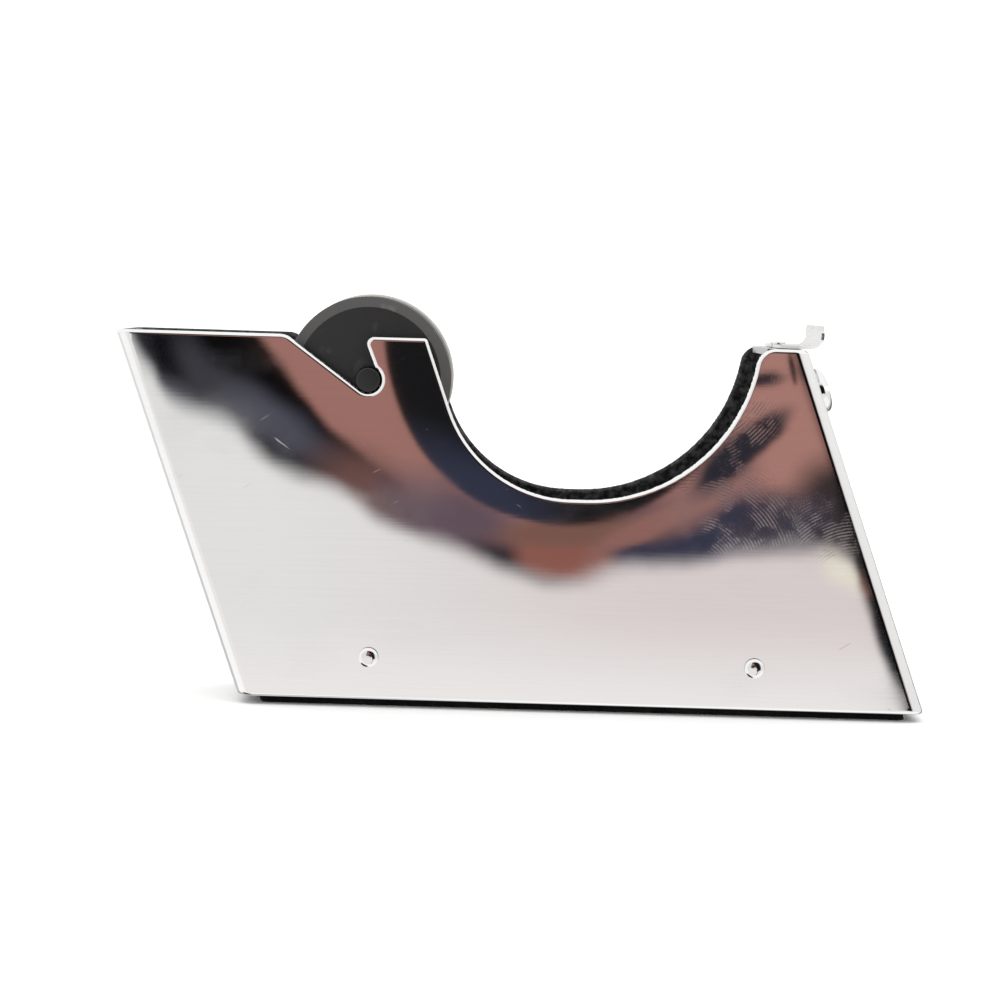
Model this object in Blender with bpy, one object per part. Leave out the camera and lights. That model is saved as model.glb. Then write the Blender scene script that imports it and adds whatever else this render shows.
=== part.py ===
"""Desk tape dispenser: a slanted chrome body of wrapped sheet steel, weighted in its foot, with a
black tape hub that lifts out of two hooked slots and a saw-toothed cutter blade on its front tower.

Frame: +X runs towards the cutter, +Y towards the far side plate, +Z up. The origin is the middle of
the object's box, on the surface that it stands on. Lengths are metres.
"""

import math

import bmesh
import bpy
from mathutils import Matrix, Vector

# ---- Body of wrapped sheet ----------------------------------------------------------------------
BASE_LENGTH = 0.1060
BODY_WIDTH = 0.0270
BODY_HEIGHT = 0.0556
SLANT = math.radians(19.8)
SHEET = 0.0015
BEND_RADIUS = 0.0022
EDGE_BREAK = 0.0004

# ---- Hooked slot, seen from the side ------------------------------------------------------------
AXLE_BEHIND_TOP_CORNER = 0.0388
AXLE_DROP = 0.0066
POCKET_CLEARANCE = 0.00018
SLOT_SLOPE = math.radians(35.8)
SLOT_MOUTH_RADIUS = 0.0030
POCKET_WRAP = math.radians(50)
HOOK_LIP = 0.0004
HOOK_LIP_RADIUS = 0.0010
HOOK_LEAN = math.radians(22)
HOOK_NOSE_RADIUS = 0.0012
HOOK_TOWER_REACH = 0.0088
HOOK_TOWER_CORNER_RADIUS = 0.0005

# ---- Scoop between the two towers ---------------------------------------------------------------
SCOOP_DEPTH = 0.0240
SCOOP_REAR_RADIUS = 0.0200
SCOOP_FRONT_RADIUS = 0.02585
SCOOP_FRONT_LEAN = math.radians(9.7)
FRONT_TOWER_TOP = 0.0075
FRONT_TOWER_CORNER_RADIUS = 0.0030

# ---- Foot: pad, plate and weight ----------------------------------------------------------------
PAD_THICKNESS = 0.0020
PAD_PROUD = 0.0013
PAD_INSET = 0.0014
PLATE_THICKNESS = 0.0016
PLATE_INSET = 0.0003
BALLAST_HEIGHT = 0.0120
BALLAST_INSET = 0.0003
INNER_CORNER_RADIUS = 0.0010
BASE_SCREW_INSET = 0.0110
BASE_SCREW_SPREAD = 0.0120
BASE_SCREW_RADIUS = 0.00125
BASE_SCREW_HEAD_RADIUS = 0.00235
BASE_SCREW_HEAD_HEIGHT = 0.0013
BASE_SCREW_LENGTH = 0.0070

# ---- Dome-headed side screws --------------------------------------------------------------------
SIDE_SCREW_REAR_INSET = 0.0224
SIDE_SCREW_FRONT_INSET = 0.0243
SIDE_SCREW_HEIGHT = 0.0065
SIDE_SCREW_RADIUS = 0.0010
SIDE_SCREW_HEAD_RADIUS = 0.00155
SIDE_SCREW_HEAD_HEIGHT = 0.0009
SIDE_SCREW_LENGTH = 0.0060

# ---- Tape hub and its axle ----------------------------------------------------------------------
AXLE_RADIUS = 0.00187
AXLE_END_INSET = 0.0001
AXLE_END_CHAMFER = 0.0002
AXLE_COLLAR_STEP = 0.00133
AXLE_COLLAR_LENGTH = 0.0060
HUB_RADIUS = 0.0127
HUB_SIDE_CLEARANCE = 0.0010
HUB_LEAD_IN = 0.0016
HUB_LEAD_IN_DEPTH = 0.0009
HUB_WALL = 0.0015
HUB_WEB = 0.0018
HUB_TUBE_WALL = 0.0014
HUB_BORE_CLEARANCE = 0.00010
HUB_CAP_RIM = 0.00035
HUB_CAP_THICKNESS = 0.0027
HUB_CAP_CHAMFER = 0.0006
HUB_SPIGOT_LENGTH = 0.0043
HUB_SPIGOT_WALL = 0.0012

# ---- Cutter blade, its bracket and fasteners ----------------------------------------------------
BLADE_SIDE_CLEARANCE = 0.0015
BLADE_THICKNESS = 0.00046
BLADE_TAIL = 0.0043
BLADE_OVERHANG = 0.0006
BLADE_BEND_RADIUS = 0.0020
BLADE_RISE = 0.0037
TOOTH_PITCH = 0.0015
TOOTH_DEPTH = 0.0008
BLADE_SCREW_SETBACK = 0.0035
BLADE_SCREW_RADIUS = 0.0007
BLADE_SCREW_HEAD_RADIUS = 0.0013
BLADE_SCREW_HEAD_HEIGHT = 0.00045
BLADE_SCREW_LENGTH = 0.0026
BRACKET_SIDE_CLEARANCE = 0.0007
BRACKET_THICKNESS = 0.0010
BRACKET_SHELF = 0.0046
BRACKET_LEG = 0.0115
BRACKET_BEND_RADIUS = 0.0012
FRONT_SCREW_DROP = 0.00685
FRONT_SCREW_RADIUS = 0.00175
FRONT_SCREW_HEAD_RADIUS = 0.0036
FRONT_SCREW_HEAD_EDGE = 0.0010
FRONT_SCREW_HEAD_HEIGHT = 0.0024
FRONT_SCREW_SLOT_WIDTH = 0.0009
FRONT_SCREW_SLOT_DEPTH = 0.0010
FRONT_SCREW_LENGTH = 0.0068
FRONT_NUT_FLATS = 0.0060
FRONT_NUT_HEIGHT = 0.0026

# ---- Clearances and steps round a curve ---------------------------------------------------------
GAP = 0.0003
SEAT_GAP = 0.0001
HOLE_CLEARANCE = 0.0002
BEYOND = 0.0030
CURVE_STEP = math.radians(9)
BEND_STEP = math.radians(22.5)
SMALL_ROUND_STEPS = 20
LARGE_ROUND_STEPS = 56
SMOOTH_ANGLE = math.radians(31)

# ---- Places worked out from the sizes -----------------------------------------------------------
SIDEWAYS = BODY_HEIGHT * math.tan(SLANT)
WALL_ALONG_X = SHEET / math.cos(SLANT)
FOOT_FRONT_X = (BASE_LENGTH + SIDEWAYS) / 2
FOOT_REAR_X = FOOT_FRONT_X - BASE_LENGTH
SHELL_BOTTOM_Z = PAD_PROUD
TOP_Z = SHELL_BOTTOM_Z + BODY_HEIGHT
PLATE_BOTTOM_Z = PAD_THICKNESS + GAP
BALLAST_BOTTOM_Z = PLATE_BOTTOM_Z + PLATE_THICKNESS + GAP
INNER_HALF_WIDTH = BODY_WIDTH / 2 - SHEET
AXLE_X = FOOT_REAR_X - SIDEWAYS + AXLE_BEHIND_TOP_CORNER
AXLE_Z = TOP_Z - AXLE_DROP
POCKET_RADIUS = AXLE_RADIUS + POCKET_CLEARANCE
HUB_HALF_WIDTH = INNER_HALF_WIDTH - HUB_SIDE_CLEARANCE
BLADE_HALF_WIDTH = INNER_HALF_WIDTH - BLADE_SIDE_CLEARANCE
BRACKET_HALF_WIDTH = INNER_HALF_WIDTH - BRACKET_SIDE_CLEARANCE
HUB_BORE_RADIUS = AXLE_RADIUS + HUB_BORE_CLEARANCE
FRONT_NORMAL = Vector((math.cos(SLANT), 0.0, math.sin(SLANT)))


def front_x(z):
    """Outer face of the front wall at a height."""
    return FOOT_FRONT_X - (z - SHELL_BOTTOM_Z) * math.tan(SLANT)


def rear_x(z):
    """Outer face of the rear wall at a height."""
    return FOOT_REAR_X - (z - SHELL_BOTTOM_Z) * math.tan(SLANT)


# ---- Materials ----------------------------------------------------------------------------------
def material(name, colour, roughness, metallic):
    made = bpy.data.materials.new(name)
    made.use_nodes = True
    shader = made.node_tree.nodes["Principled BSDF"]
    shader.inputs["Base Color"].default_value = (*colour, 1.0)
    shader.inputs["Roughness"].default_value = roughness
    shader.inputs["Metallic"].default_value = metallic
    return made


def shell_chrome():
    return material("shell_chrome", (0.80, 0.80, 0.81), 0.06, 1.0)


def fastener_chrome():
    return material("fastener_chrome", (0.78, 0.78, 0.79), 0.10, 1.0)


def blade_steel():
    return material("blade_steel", (0.66, 0.66, 0.67), 0.22, 1.0)


def zinc_plate():
    return material("zinc_plate", (0.55, 0.56, 0.57), 0.40, 1.0)


def cast_iron():
    return material("cast_iron", (0.09, 0.09, 0.10), 0.75, 0.6)


def hub_plastic():
    return material("hub_plastic", (0.022, 0.021, 0.022), 0.42, 0.0)


def axle_plastic():
    return material("axle_plastic", (0.018, 0.018, 0.019), 0.35, 0.0)


def pad_rubber():
    return material("pad_rubber", (0.020, 0.020, 0.021), 0.85, 0.0)


# ---- Outlines -----------------------------------------------------------------------------------
def meet(point, angle, other_point, other_angle):
    """Where two lines cross, each given by a point and a direction."""
    along = Vector((math.cos(angle), math.sin(angle)))
    other_along = Vector((math.cos(other_angle), math.sin(other_angle)))
    apart = Vector(other_point) - Vector(point)
    reach = apart.cross(other_along) / along.cross(other_along)
    return Vector(point) + along * reach


def rounded(corners, step):
    """Closed outline through (u, v, radius) corners. Neighbouring radii share the side between them."""
    count = len(corners)
    points = [Vector(corner[:2]) for corner in corners]
    sides = [(points[(i + 1) % count] - points[i]).length for i in range(count)]
    turns = []
    for i in range(count):
        before = points[i] - points[i - 1]
        after = points[(i + 1) % count] - points[i]
        turns.append(math.atan2(before.cross(after), before.dot(after)))
    reach = [corners[i][2] * math.tan(abs(turns[i]) / 2) for i in range(count)]
    fitted = []
    for i in range(count):
        shares = [1.0]
        for side, neighbour in ((sides[i - 1], reach[i - 1]), (sides[i], reach[(i + 1) % count])):
            if reach[i] + neighbour > 0:
                shares.append(side / (reach[i] + neighbour))
        fitted.append(reach[i] * min(shares))
    outline = []
    for i in range(count):
        if fitted[i] == 0:
            outline.append(points[i])
            continue
        radius = fitted[i] / math.tan(abs(turns[i]) / 2)
        before = (points[i] - points[i - 1]).normalized()
        start = points[i] - before * fitted[i]
        side = math.copysign(1.0, turns[i])
        centre = start + Vector((-before.y, before.x)) * side * radius
        spoke = start - centre
        steps = max(2, math.ceil(abs(turns[i]) / step))
        for k in range(steps + 1):
            turn = turns[i] * k / steps
            outline.append(
                centre
                + Vector(
                    (
                        spoke.x * math.cos(turn) - spoke.y * math.sin(turn),
                        spoke.x * math.sin(turn) + spoke.y * math.cos(turn),
                    )
                )
            )
    kept = [outline[i] for i in range(len(outline)) if (outline[i] - outline[i - 1]).length > 1e-6]
    return kept


def rounded_rectangle(length, width, radius):
    """Horizontal section of the body or of what fits inside it, about its own middle."""
    half_length = length / 2
    half_width = width / 2
    corners = [
        (-half_length, -half_width, radius),
        (half_length, -half_width, radius),
        (half_length, half_width, radius),
        (-half_length, half_width, radius),
    ]
    return rounded(corners, BEND_STEP)


def slot_profile():
    """Upper edge of the side plate from its rear corner to the nose of the hook, as (x, z, radius)."""
    centre = Vector((AXLE_X, AXLE_Z))
    downhill = -SLOT_SLOPE
    slope_touch = centre + POCKET_RADIUS * Vector((-math.sin(SLOT_SLOPE), -math.cos(SLOT_SLOPE)))
    right_touch = centre + Vector((POCKET_RADIUS, 0.0))
    wrap_spoke = Vector((math.cos(POCKET_WRAP), math.sin(POCKET_WRAP)))
    wrap_touch = centre + POCKET_RADIUS * wrap_spoke
    over_hook = POCKET_WRAP + math.pi / 2
    lean = math.pi / 2 + HOOK_LEAN
    mouth = meet(slope_touch, downhill, (AXLE_X, TOP_Z), 0.0)
    lower_bend = meet(slope_touch, downhill, right_touch, math.pi / 2)
    upper_bend = meet(right_touch, math.pi / 2, wrap_touch, over_hook)
    lip = wrap_touch + HOOK_LIP * Vector((math.cos(over_hook), math.sin(over_hook)))
    nose = meet(lip, lean, (AXLE_X, TOP_Z), 0.0)
    return [
        (*mouth, SLOT_MOUTH_RADIUS),
        (*lower_bend, POCKET_RADIUS),
        (*upper_bend, POCKET_RADIUS),
        (*lip, HOOK_LIP_RADIUS),
        (*nose, HOOK_NOSE_RADIUS),
    ]


def scoop_profile():
    """Upper edge of the side plate from the hook tower, through the scoop, to the front tower."""
    tower_x = AXLE_X + HOOK_TOWER_REACH
    floor_z = TOP_Z - SCOOP_DEPTH
    front_top_x = front_x(TOP_Z) - FRONT_TOWER_TOP
    front_side = math.pi / 2 - SCOOP_FRONT_LEAN
    rear_foot = meet((tower_x, TOP_Z), -(math.pi / 2 - SLANT), (tower_x, floor_z), 0.0)
    front_foot = meet((front_top_x, TOP_Z), front_side, (front_top_x, floor_z), 0.0)
    return [
        (tower_x, TOP_Z, HOOK_TOWER_CORNER_RADIUS),
        (*rear_foot, SCOOP_REAR_RADIUS),
        (*front_foot, SCOOP_FRONT_RADIUS),
        (front_top_x, TOP_Z, FRONT_TOWER_CORNER_RADIUS),
    ]


# ---- Solids -------------------------------------------------------------------------------------
def node(name, mesh_builder, finish):
    """Object from a filled bmesh, with its material and smooth round faces."""
    bmesh.ops.recalc_face_normals(mesh_builder, faces=mesh_builder.faces)
    mesh = bpy.data.meshes.new(name)
    mesh_builder.to_mesh(mesh)
    mesh_builder.free()
    mesh.shade_smooth()
    mesh.set_sharp_from_angle(angle=SMOOTH_ANGLE)
    made = bpy.data.objects.new(name, mesh)
    bpy.context.scene.collection.objects.link(made)
    if finish:
        mesh.materials.append(finish)
    return made


def between(lower, upper):
    """Closed bmesh between two outlines with the same number of points."""
    made = bmesh.new()
    low = [made.verts.new(point) for point in lower]
    high = [made.verts.new(point) for point in upper]
    made.faces.new(low)
    made.faces.new(high)
    for i in range(len(low)):
        made.faces.new((low[i - 1], low[i], high[i], high[i - 1]))
    return made


def slanted_block(name, inset, radius, z_low, z_high, finish):
    """Block with the body's slant, set in from its outer faces by inset."""
    length = BASE_LENGTH - 2 * inset / math.cos(SLANT)
    section = rounded_rectangle(length, BODY_WIDTH - 2 * inset, radius)
    rings = []
    for z in (z_low, z_high):
        middle = (front_x(z) + rear_x(z)) / 2
        rings.append([Vector((middle + p.x, p.y, z)) for p in section])
    return node(name, between(*rings), finish)


def side_prism(name, outline, half_width, finish):
    """Outline in the XZ plane, drawn out to both sides of the middle."""
    near = [Vector((p.x, -half_width, p.y)) for p in outline]
    far = [Vector((p.x, half_width, p.y)) for p in outline]
    return node(name, between(near, far), finish)


def turned(name, profile, steps, finish):
    """Solid turned about its own Z axis from a closed (radius, z) profile, or one that meets the axis."""
    made = bmesh.new()
    points = [made.verts.new((radius, 0.0, z)) for radius, z in profile]
    on_axis = profile[0][0] == 0 and profile[-1][0] == 0
    last = len(points) - 1 if on_axis else len(points)
    edges = [made.edges.new((points[i], points[(i + 1) % len(points)])) for i in range(last)]
    bmesh.ops.spin(
        made,
        geom=points + edges,
        axis=(0.0, 0.0, 1.0),
        cent=(0.0, 0.0, 0.0),
        angle=2 * math.pi,
        steps=steps,
        use_merge=True,
    )
    bmesh.ops.remove_doubles(made, verts=made.verts, dist=1e-7)
    return node(name, made, finish)


def dome(radius, edge, height):
    """Profile of a domed head, from its crown out to the foot of its edge, above z = 0."""
    rise = height - edge
    sphere = (radius**2 + rise**2) / (2 * rise)
    steps = 5
    crown_half = math.asin(radius / sphere)
    profile = []
    for i in range(steps + 1):
        angle = crown_half * i / steps
        profile.append((sphere * math.sin(angle), height - sphere * (1 - math.cos(angle))))
    if edge > 0:
        profile.append((radius, 0.0))
    return profile


def screw_profile(head, radius, length):
    """Head profile, then a plain shank that ends in a small chamfer."""
    tip = radius * 0.6
    return head + [(radius, 0.0), (radius, tip - length), (tip, -length), (0.0, -length)]


def cut(target, cutter):
    cutter.hide_render = True
    cutter.display_type = "WIRE"
    boolean = target.modifiers.new("cut_" + cutter.name, "BOOLEAN")
    boolean.operation = "DIFFERENCE"
    boolean.object = cutter


def drill(target, name, centre, along, radius, length):
    """Round hole about a centre point, along a direction."""
    made = bmesh.new()
    bmesh.ops.create_cone(
        made,
        cap_ends=True,
        segments=SMALL_ROUND_STEPS,
        radius1=radius,
        radius2=radius,
        depth=length,
    )
    cutter = node(name, made, None)
    cutter.location = centre
    cutter.rotation_euler = Vector(along).to_track_quat("Z", "Y").to_euler()
    cut(target, cutter)


# ---- Shell --------------------------------------------------------------------------------------
def build_shell():
    """Wrapped sheet: two side plates, a front and a rear wall, open above and below."""
    finish = shell_chrome()
    over_top = TOP_Z + BEYOND
    shell = slanted_block("shell", 0.0, BEND_RADIUS, SHELL_BOTTOM_Z, over_top, finish)
    inner_radius = BEND_RADIUS - SHEET
    hollow = slanted_block(
        "shell_hollow", SHEET, inner_radius, SHELL_BOTTOM_Z - BEYOND, over_top + BEYOND, None
    )
    cut(shell, hollow)
    ends = [
        (front_x(TOP_Z) + BEYOND, TOP_Z, 0.0),
        (front_x(TOP_Z) + BEYOND, over_top + BEYOND, 0.0),
        (rear_x(TOP_Z) - 2 * BEYOND, over_top + BEYOND, 0.0),
        (rear_x(TOP_Z) - 2 * BEYOND, TOP_Z, 0.0),
    ]
    profile = rounded(slot_profile() + scoop_profile() + ends, CURVE_STEP)
    cut(shell, side_prism("shell_top_profile", profile, BODY_WIDTH / 2 + BEYOND, None))
    for place, x in side_screw_places():
        centre = (x, 0.0, SHELL_BOTTOM_Z + SIDE_SCREW_HEIGHT)
        radius = SIDE_SCREW_RADIUS + HOLE_CLEARANCE
        drill(shell, "shell_side_hole_" + place, centre, (0, 1, 0), radius, BODY_WIDTH + BEYOND)
    drill(
        shell,
        "shell_front_hole",
        front_screw_seat(),
        FRONT_NORMAL,
        FRONT_SCREW_RADIUS + HOLE_CLEARANCE,
        2 * BEYOND,
    )
    edges = shell.modifiers.new("broken_edges", "BEVEL")
    edges.width = EDGE_BREAK
    edges.segments = 2
    edges.limit_method = "ANGLE"
    edges.angle_limit = math.radians(50)


# ---- Foot ---------------------------------------------------------------------------------------
def side_screw_places():
    """Names and X places of the two rows of side screws."""
    z = SHELL_BOTTOM_Z + SIDE_SCREW_HEIGHT
    return [
        ("rear", rear_x(z) + SIDE_SCREW_REAR_INSET),
        ("front", front_x(z) - SIDE_SCREW_FRONT_INSET),
    ]


def base_screw_places():
    places = []
    for end, x in (("rear", FOOT_REAR_X + BASE_SCREW_INSET), ("front", FOOT_FRONT_X - BASE_SCREW_INSET)):
        for side, y in (("near", -BASE_SCREW_SPREAD / 2), ("far", BASE_SCREW_SPREAD / 2)):
            places.append((side + "_" + end, x, y))
    return places


def build_ballast():
    """Cast weight that fills the foot, with holes for the side screws and the base screws."""
    inset = SHEET + BALLAST_INSET
    top_z = BALLAST_BOTTOM_Z + BALLAST_HEIGHT
    block = slanted_block(
        "ballast_block", inset, INNER_CORNER_RADIUS, BALLAST_BOTTOM_Z, top_z, cast_iron()
    )
    z = SHELL_BOTTOM_Z + SIDE_SCREW_HEIGHT
    deep = 2 * (SIDE_SCREW_LENGTH + GAP)
    for place, x in side_screw_places():
        for side, y in (("near", -BODY_WIDTH / 2), ("far", BODY_WIDTH / 2)):
            name = "ballast_hole_" + side + "_" + place
            drill(block, name, (x, y, z), (0, 1, 0), SIDE_SCREW_RADIUS + HOLE_CLEARANCE, deep)
    deep = 2 * (BASE_SCREW_LENGTH + GAP)
    for place, x, y in base_screw_places():
        name = "ballast_base_hole_" + place
        centre = (x, y, PLATE_BOTTOM_Z)
        drill(block, name, centre, (0, 0, 1), BASE_SCREW_RADIUS + HOLE_CLEARANCE, deep)


def build_base_plate():
    """Steel plate that closes the foot, countersunk for its screws."""
    plate = slanted_block(
        "base_plate",
        SHEET + PLATE_INSET,
        INNER_CORNER_RADIUS,
        PLATE_BOTTOM_Z,
        PLATE_BOTTOM_Z + PLATE_THICKNESS,
        zinc_plate(),
    )
    spare = HOLE_CLEARANCE
    wide = BASE_SCREW_HEAD_RADIUS + spare
    narrow = BASE_SCREW_RADIUS + spare
    sink = [
        (0.0, BEYOND),
        (narrow, BEYOND),
        (narrow, BASE_SCREW_HEAD_HEIGHT),
        (wide, 0.0),
        (wide, -BEYOND),
        (0.0, -BEYOND),
    ]
    for place, x, y in base_screw_places():
        cutter = turned("base_plate_sink_" + place, sink, SMALL_ROUND_STEPS, None)
        cutter.location = (x, y, PLATE_BOTTOM_Z)
        cut(plate, cutter)


def build_base_pad():
    """Soft sheet glued under the base plate, standing a little proud of the shell's lower edge."""
    slanted_block(
        "base_pad", SHEET + PAD_INSET, INNER_CORNER_RADIUS, 0.0, PAD_THICKNESS, pad_rubber()
    )


def build_base_screws():
    finish = fastener_chrome()
    radius = BASE_SCREW_RADIUS
    profile = [
        (0.0, BASE_SCREW_LENGTH),
        (radius * 0.6, BASE_SCREW_LENGTH),
        (radius, BASE_SCREW_LENGTH - radius * 0.6),
        (radius, BASE_SCREW_HEAD_HEIGHT),
        (BASE_SCREW_HEAD_RADIUS, 0.0),
        (0.0, 0.0),
    ]
    for place, x, y in base_screw_places():
        screw = turned("base_screw_" + place, profile, SMALL_ROUND_STEPS, finish)
        screw.location = (x, y, PLATE_BOTTOM_Z)


def build_side_screws():
    finish = fastener_chrome()
    head = dome(SIDE_SCREW_HEAD_RADIUS, 0.0, SIDE_SCREW_HEAD_HEIGHT)
    profile = screw_profile(head, SIDE_SCREW_RADIUS, SIDE_SCREW_LENGTH)
    z = SHELL_BOTTOM_Z + SIDE_SCREW_HEIGHT
    seat = BODY_WIDTH / 2 + SEAT_GAP
    for place, x in side_screw_places():
        for side, way in (("near", -1), ("far", 1)):
            screw = turned("side_screw_" + side + "_" + place, profile, SMALL_ROUND_STEPS, finish)
            screw.rotation_euler = (-way * math.pi / 2, 0.0, 0.0)
            screw.location = (x, way * seat, z)


# ---- Hub ----------------------------------------------------------------------------------------
def on_axle(made):
    """Turns a solid's own Z axis to +Y and puts its origin on the axle."""
    made.rotation_euler = (-math.pi / 2, 0.0, 0.0)
    made.location = (AXLE_X, 0.0, AXLE_Z)


def build_axle():
    """Rod across both slots, with a collar that the two hub halves close over."""
    half = BODY_WIDTH / 2 - AXLE_END_INSET
    collar = AXLE_COLLAR_LENGTH / 2
    profile = [
        (0.0, half),
        (AXLE_RADIUS - AXLE_END_CHAMFER, half),
        (AXLE_RADIUS, half - AXLE_END_CHAMFER),
        (AXLE_RADIUS, collar),
        (AXLE_RADIUS + AXLE_COLLAR_STEP, collar),
        (AXLE_RADIUS + AXLE_COLLAR_STEP, -collar),
        (AXLE_RADIUS, -collar),
        (AXLE_RADIUS, AXLE_END_CHAMFER - half),
        (AXLE_RADIUS - AXLE_END_CHAMFER, -half),
        (0.0, -half),
    ]
    on_axle(turned("hub_axle", profile, SMALL_ROUND_STEPS * 2, axle_plastic()))


def build_hub():
    """Near half, a cup with the drum that the tape core sits on, and far half, its cap with a stop rim."""
    finish = hub_plastic()
    bore = HUB_BORE_RADIUS
    tube = bore + HUB_TUBE_WALL
    tube_end = AXLE_COLLAR_LENGTH / 2 + GAP
    near = -HUB_HALF_WIDTH
    far = HUB_HALF_WIDTH
    split = far - HUB_CAP_THICKNESS
    cup = [
        (bore, near),
        (HUB_RADIUS - HUB_LEAD_IN, near),
        (HUB_RADIUS, near + HUB_LEAD_IN_DEPTH),
        (HUB_RADIUS, split - GAP),
        (HUB_RADIUS - HUB_WALL, split - GAP),
        (HUB_RADIUS - HUB_WALL, near + HUB_WEB),
        (tube, near + HUB_WEB),
        (tube, -tube_end),
        (bore, -tube_end),
    ]
    on_axle(turned("hub_near_half", cup, LARGE_ROUND_STEPS, finish))
    rim = HUB_RADIUS + HUB_CAP_RIM
    spigot = HUB_RADIUS - HUB_WALL - GAP
    cap = [
        (bore, far),
        (rim - HUB_CAP_CHAMFER, far),
        (rim, far - HUB_CAP_CHAMFER),
        (rim, split),
        (spigot, split),
        (spigot, split - HUB_SPIGOT_LENGTH),
        (spigot - HUB_SPIGOT_WALL, split - HUB_SPIGOT_LENGTH),
        (spigot - HUB_SPIGOT_WALL, far - HUB_WEB),
        (tube, far - HUB_WEB),
        (tube, tube_end),
        (bore, tube_end),
    ]
    on_axle(turned("hub_far_half", cap, LARGE_ROUND_STEPS, finish))


# ---- Cutter -------------------------------------------------------------------------------------
def blade_upright_x():
    """Outer face of the blade's upright part."""
    return front_x(TOP_Z) + BLADE_OVERHANG + BLADE_BEND_RADIUS


def blade_screw_x():
    return front_x(TOP_Z) - BLADE_SCREW_SETBACK


def front_screw_seat():
    """Middle of the front screw's hole on the outer face of the front wall."""
    z = TOP_Z - FRONT_SCREW_DROP
    return Vector((front_x(z), 0.0, z))


def build_blade():
    """Spring-steel strip: a tail on the tower's top, a bend past the front wall and a toothed upright."""
    under = TOP_Z + SEAT_GAP
    tip_z = TOP_Z + BLADE_RISE
    outer = blade_upright_x()
    inner = outer - BLADE_THICKNESS
    tail_x = front_x(TOP_Z) - BLADE_TAIL
    corners = [
        (tail_x, under, 0.0),
        (outer, under, BLADE_BEND_RADIUS),
        (outer, tip_z + TOOTH_DEPTH, 0.0),
        (inner, tip_z + TOOTH_DEPTH, 0.0),
        (inner, under + BLADE_THICKNESS, BLADE_BEND_RADIUS - BLADE_THICKNESS),
        (tail_x, under + BLADE_THICKNESS, 0.0),
    ]
    outline = rounded(corners, CURVE_STEP * 2)
    blade = side_prism("cutter_blade", outline, BLADE_HALF_WIDTH, blade_steel())
    teeth = max(1, round(2 * BLADE_HALF_WIDTH / TOOTH_PITCH))
    pitch = 2 * BLADE_HALF_WIDTH / teeth
    comb = []
    for i in range(2 * teeth + 3):
        y = (i - 1 - teeth) * pitch / 2
        comb.append((y, tip_z if i % 2 == 0 else tip_z - TOOTH_DEPTH))
    comb += [(comb[-1][0], tip_z + BEYOND), (comb[0][0], tip_z + BEYOND)]
    inside = [Vector((inner - BEYOND / 2, y, z)) for y, z in comb]
    outside = [Vector((outer + BEYOND, y, z)) for y, z in comb]
    cut(blade, node("blade_tooth_comb", between(inside, outside), None))
    hole = (blade_screw_x(), 0.0, under)
    drill(
        blade, "blade_screw_hole", hole, (0, 0, 1), BLADE_SCREW_RADIUS + HOLE_CLEARANCE, BEYOND
    )


def build_bracket():
    """Bent shelf inside the front tower: it carries the blade and is held by the front screw."""
    spare = GAP / math.cos(SLANT)
    leg_wall = BRACKET_THICKNESS / math.cos(SLANT)
    low_z = TOP_Z - BRACKET_LEG
    shelf_x = front_x(TOP_Z) - WALL_ALONG_X - BRACKET_SHELF

    def leg_x(z):
        return front_x(z) - WALL_ALONG_X - spare

    inner_z = TOP_Z - BRACKET_THICKNESS
    corners = [
        (shelf_x, TOP_Z, 0.0),
        (shelf_x, inner_z, 0.0),
        (leg_x(inner_z) - leg_wall, inner_z, BRACKET_BEND_RADIUS - BRACKET_THICKNESS),
        (leg_x(low_z) - leg_wall, low_z, 0.0),
        (leg_x(low_z), low_z, 0.0),
        (leg_x(TOP_Z), TOP_Z, BRACKET_BEND_RADIUS),
    ]
    outline = rounded(corners, CURVE_STEP * 2)
    bracket = side_prism("landing_bracket", outline, BRACKET_HALF_WIDTH, zinc_plate())
    radius = FRONT_SCREW_RADIUS + HOLE_CLEARANCE
    seat = front_screw_seat()
    drill(bracket, "bracket_front_hole", seat, FRONT_NORMAL, radius, 4 * BEYOND)
    radius = BLADE_SCREW_RADIUS + HOLE_CLEARANCE
    hole = (blade_screw_x(), 0.0, TOP_Z)
    drill(bracket, "bracket_blade_hole", hole, (0, 0, 1), radius, BEYOND)


def build_blade_screw():
    head = dome(BLADE_SCREW_HEAD_RADIUS, 0.0, BLADE_SCREW_HEAD_HEIGHT)
    profile = screw_profile(head, BLADE_SCREW_RADIUS, BLADE_SCREW_LENGTH)
    screw = turned("blade_screw", profile, SMALL_ROUND_STEPS, fastener_chrome())
    screw.location = (blade_screw_x(), 0.0, TOP_Z + 2 * SEAT_GAP + BLADE_THICKNESS)


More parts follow.
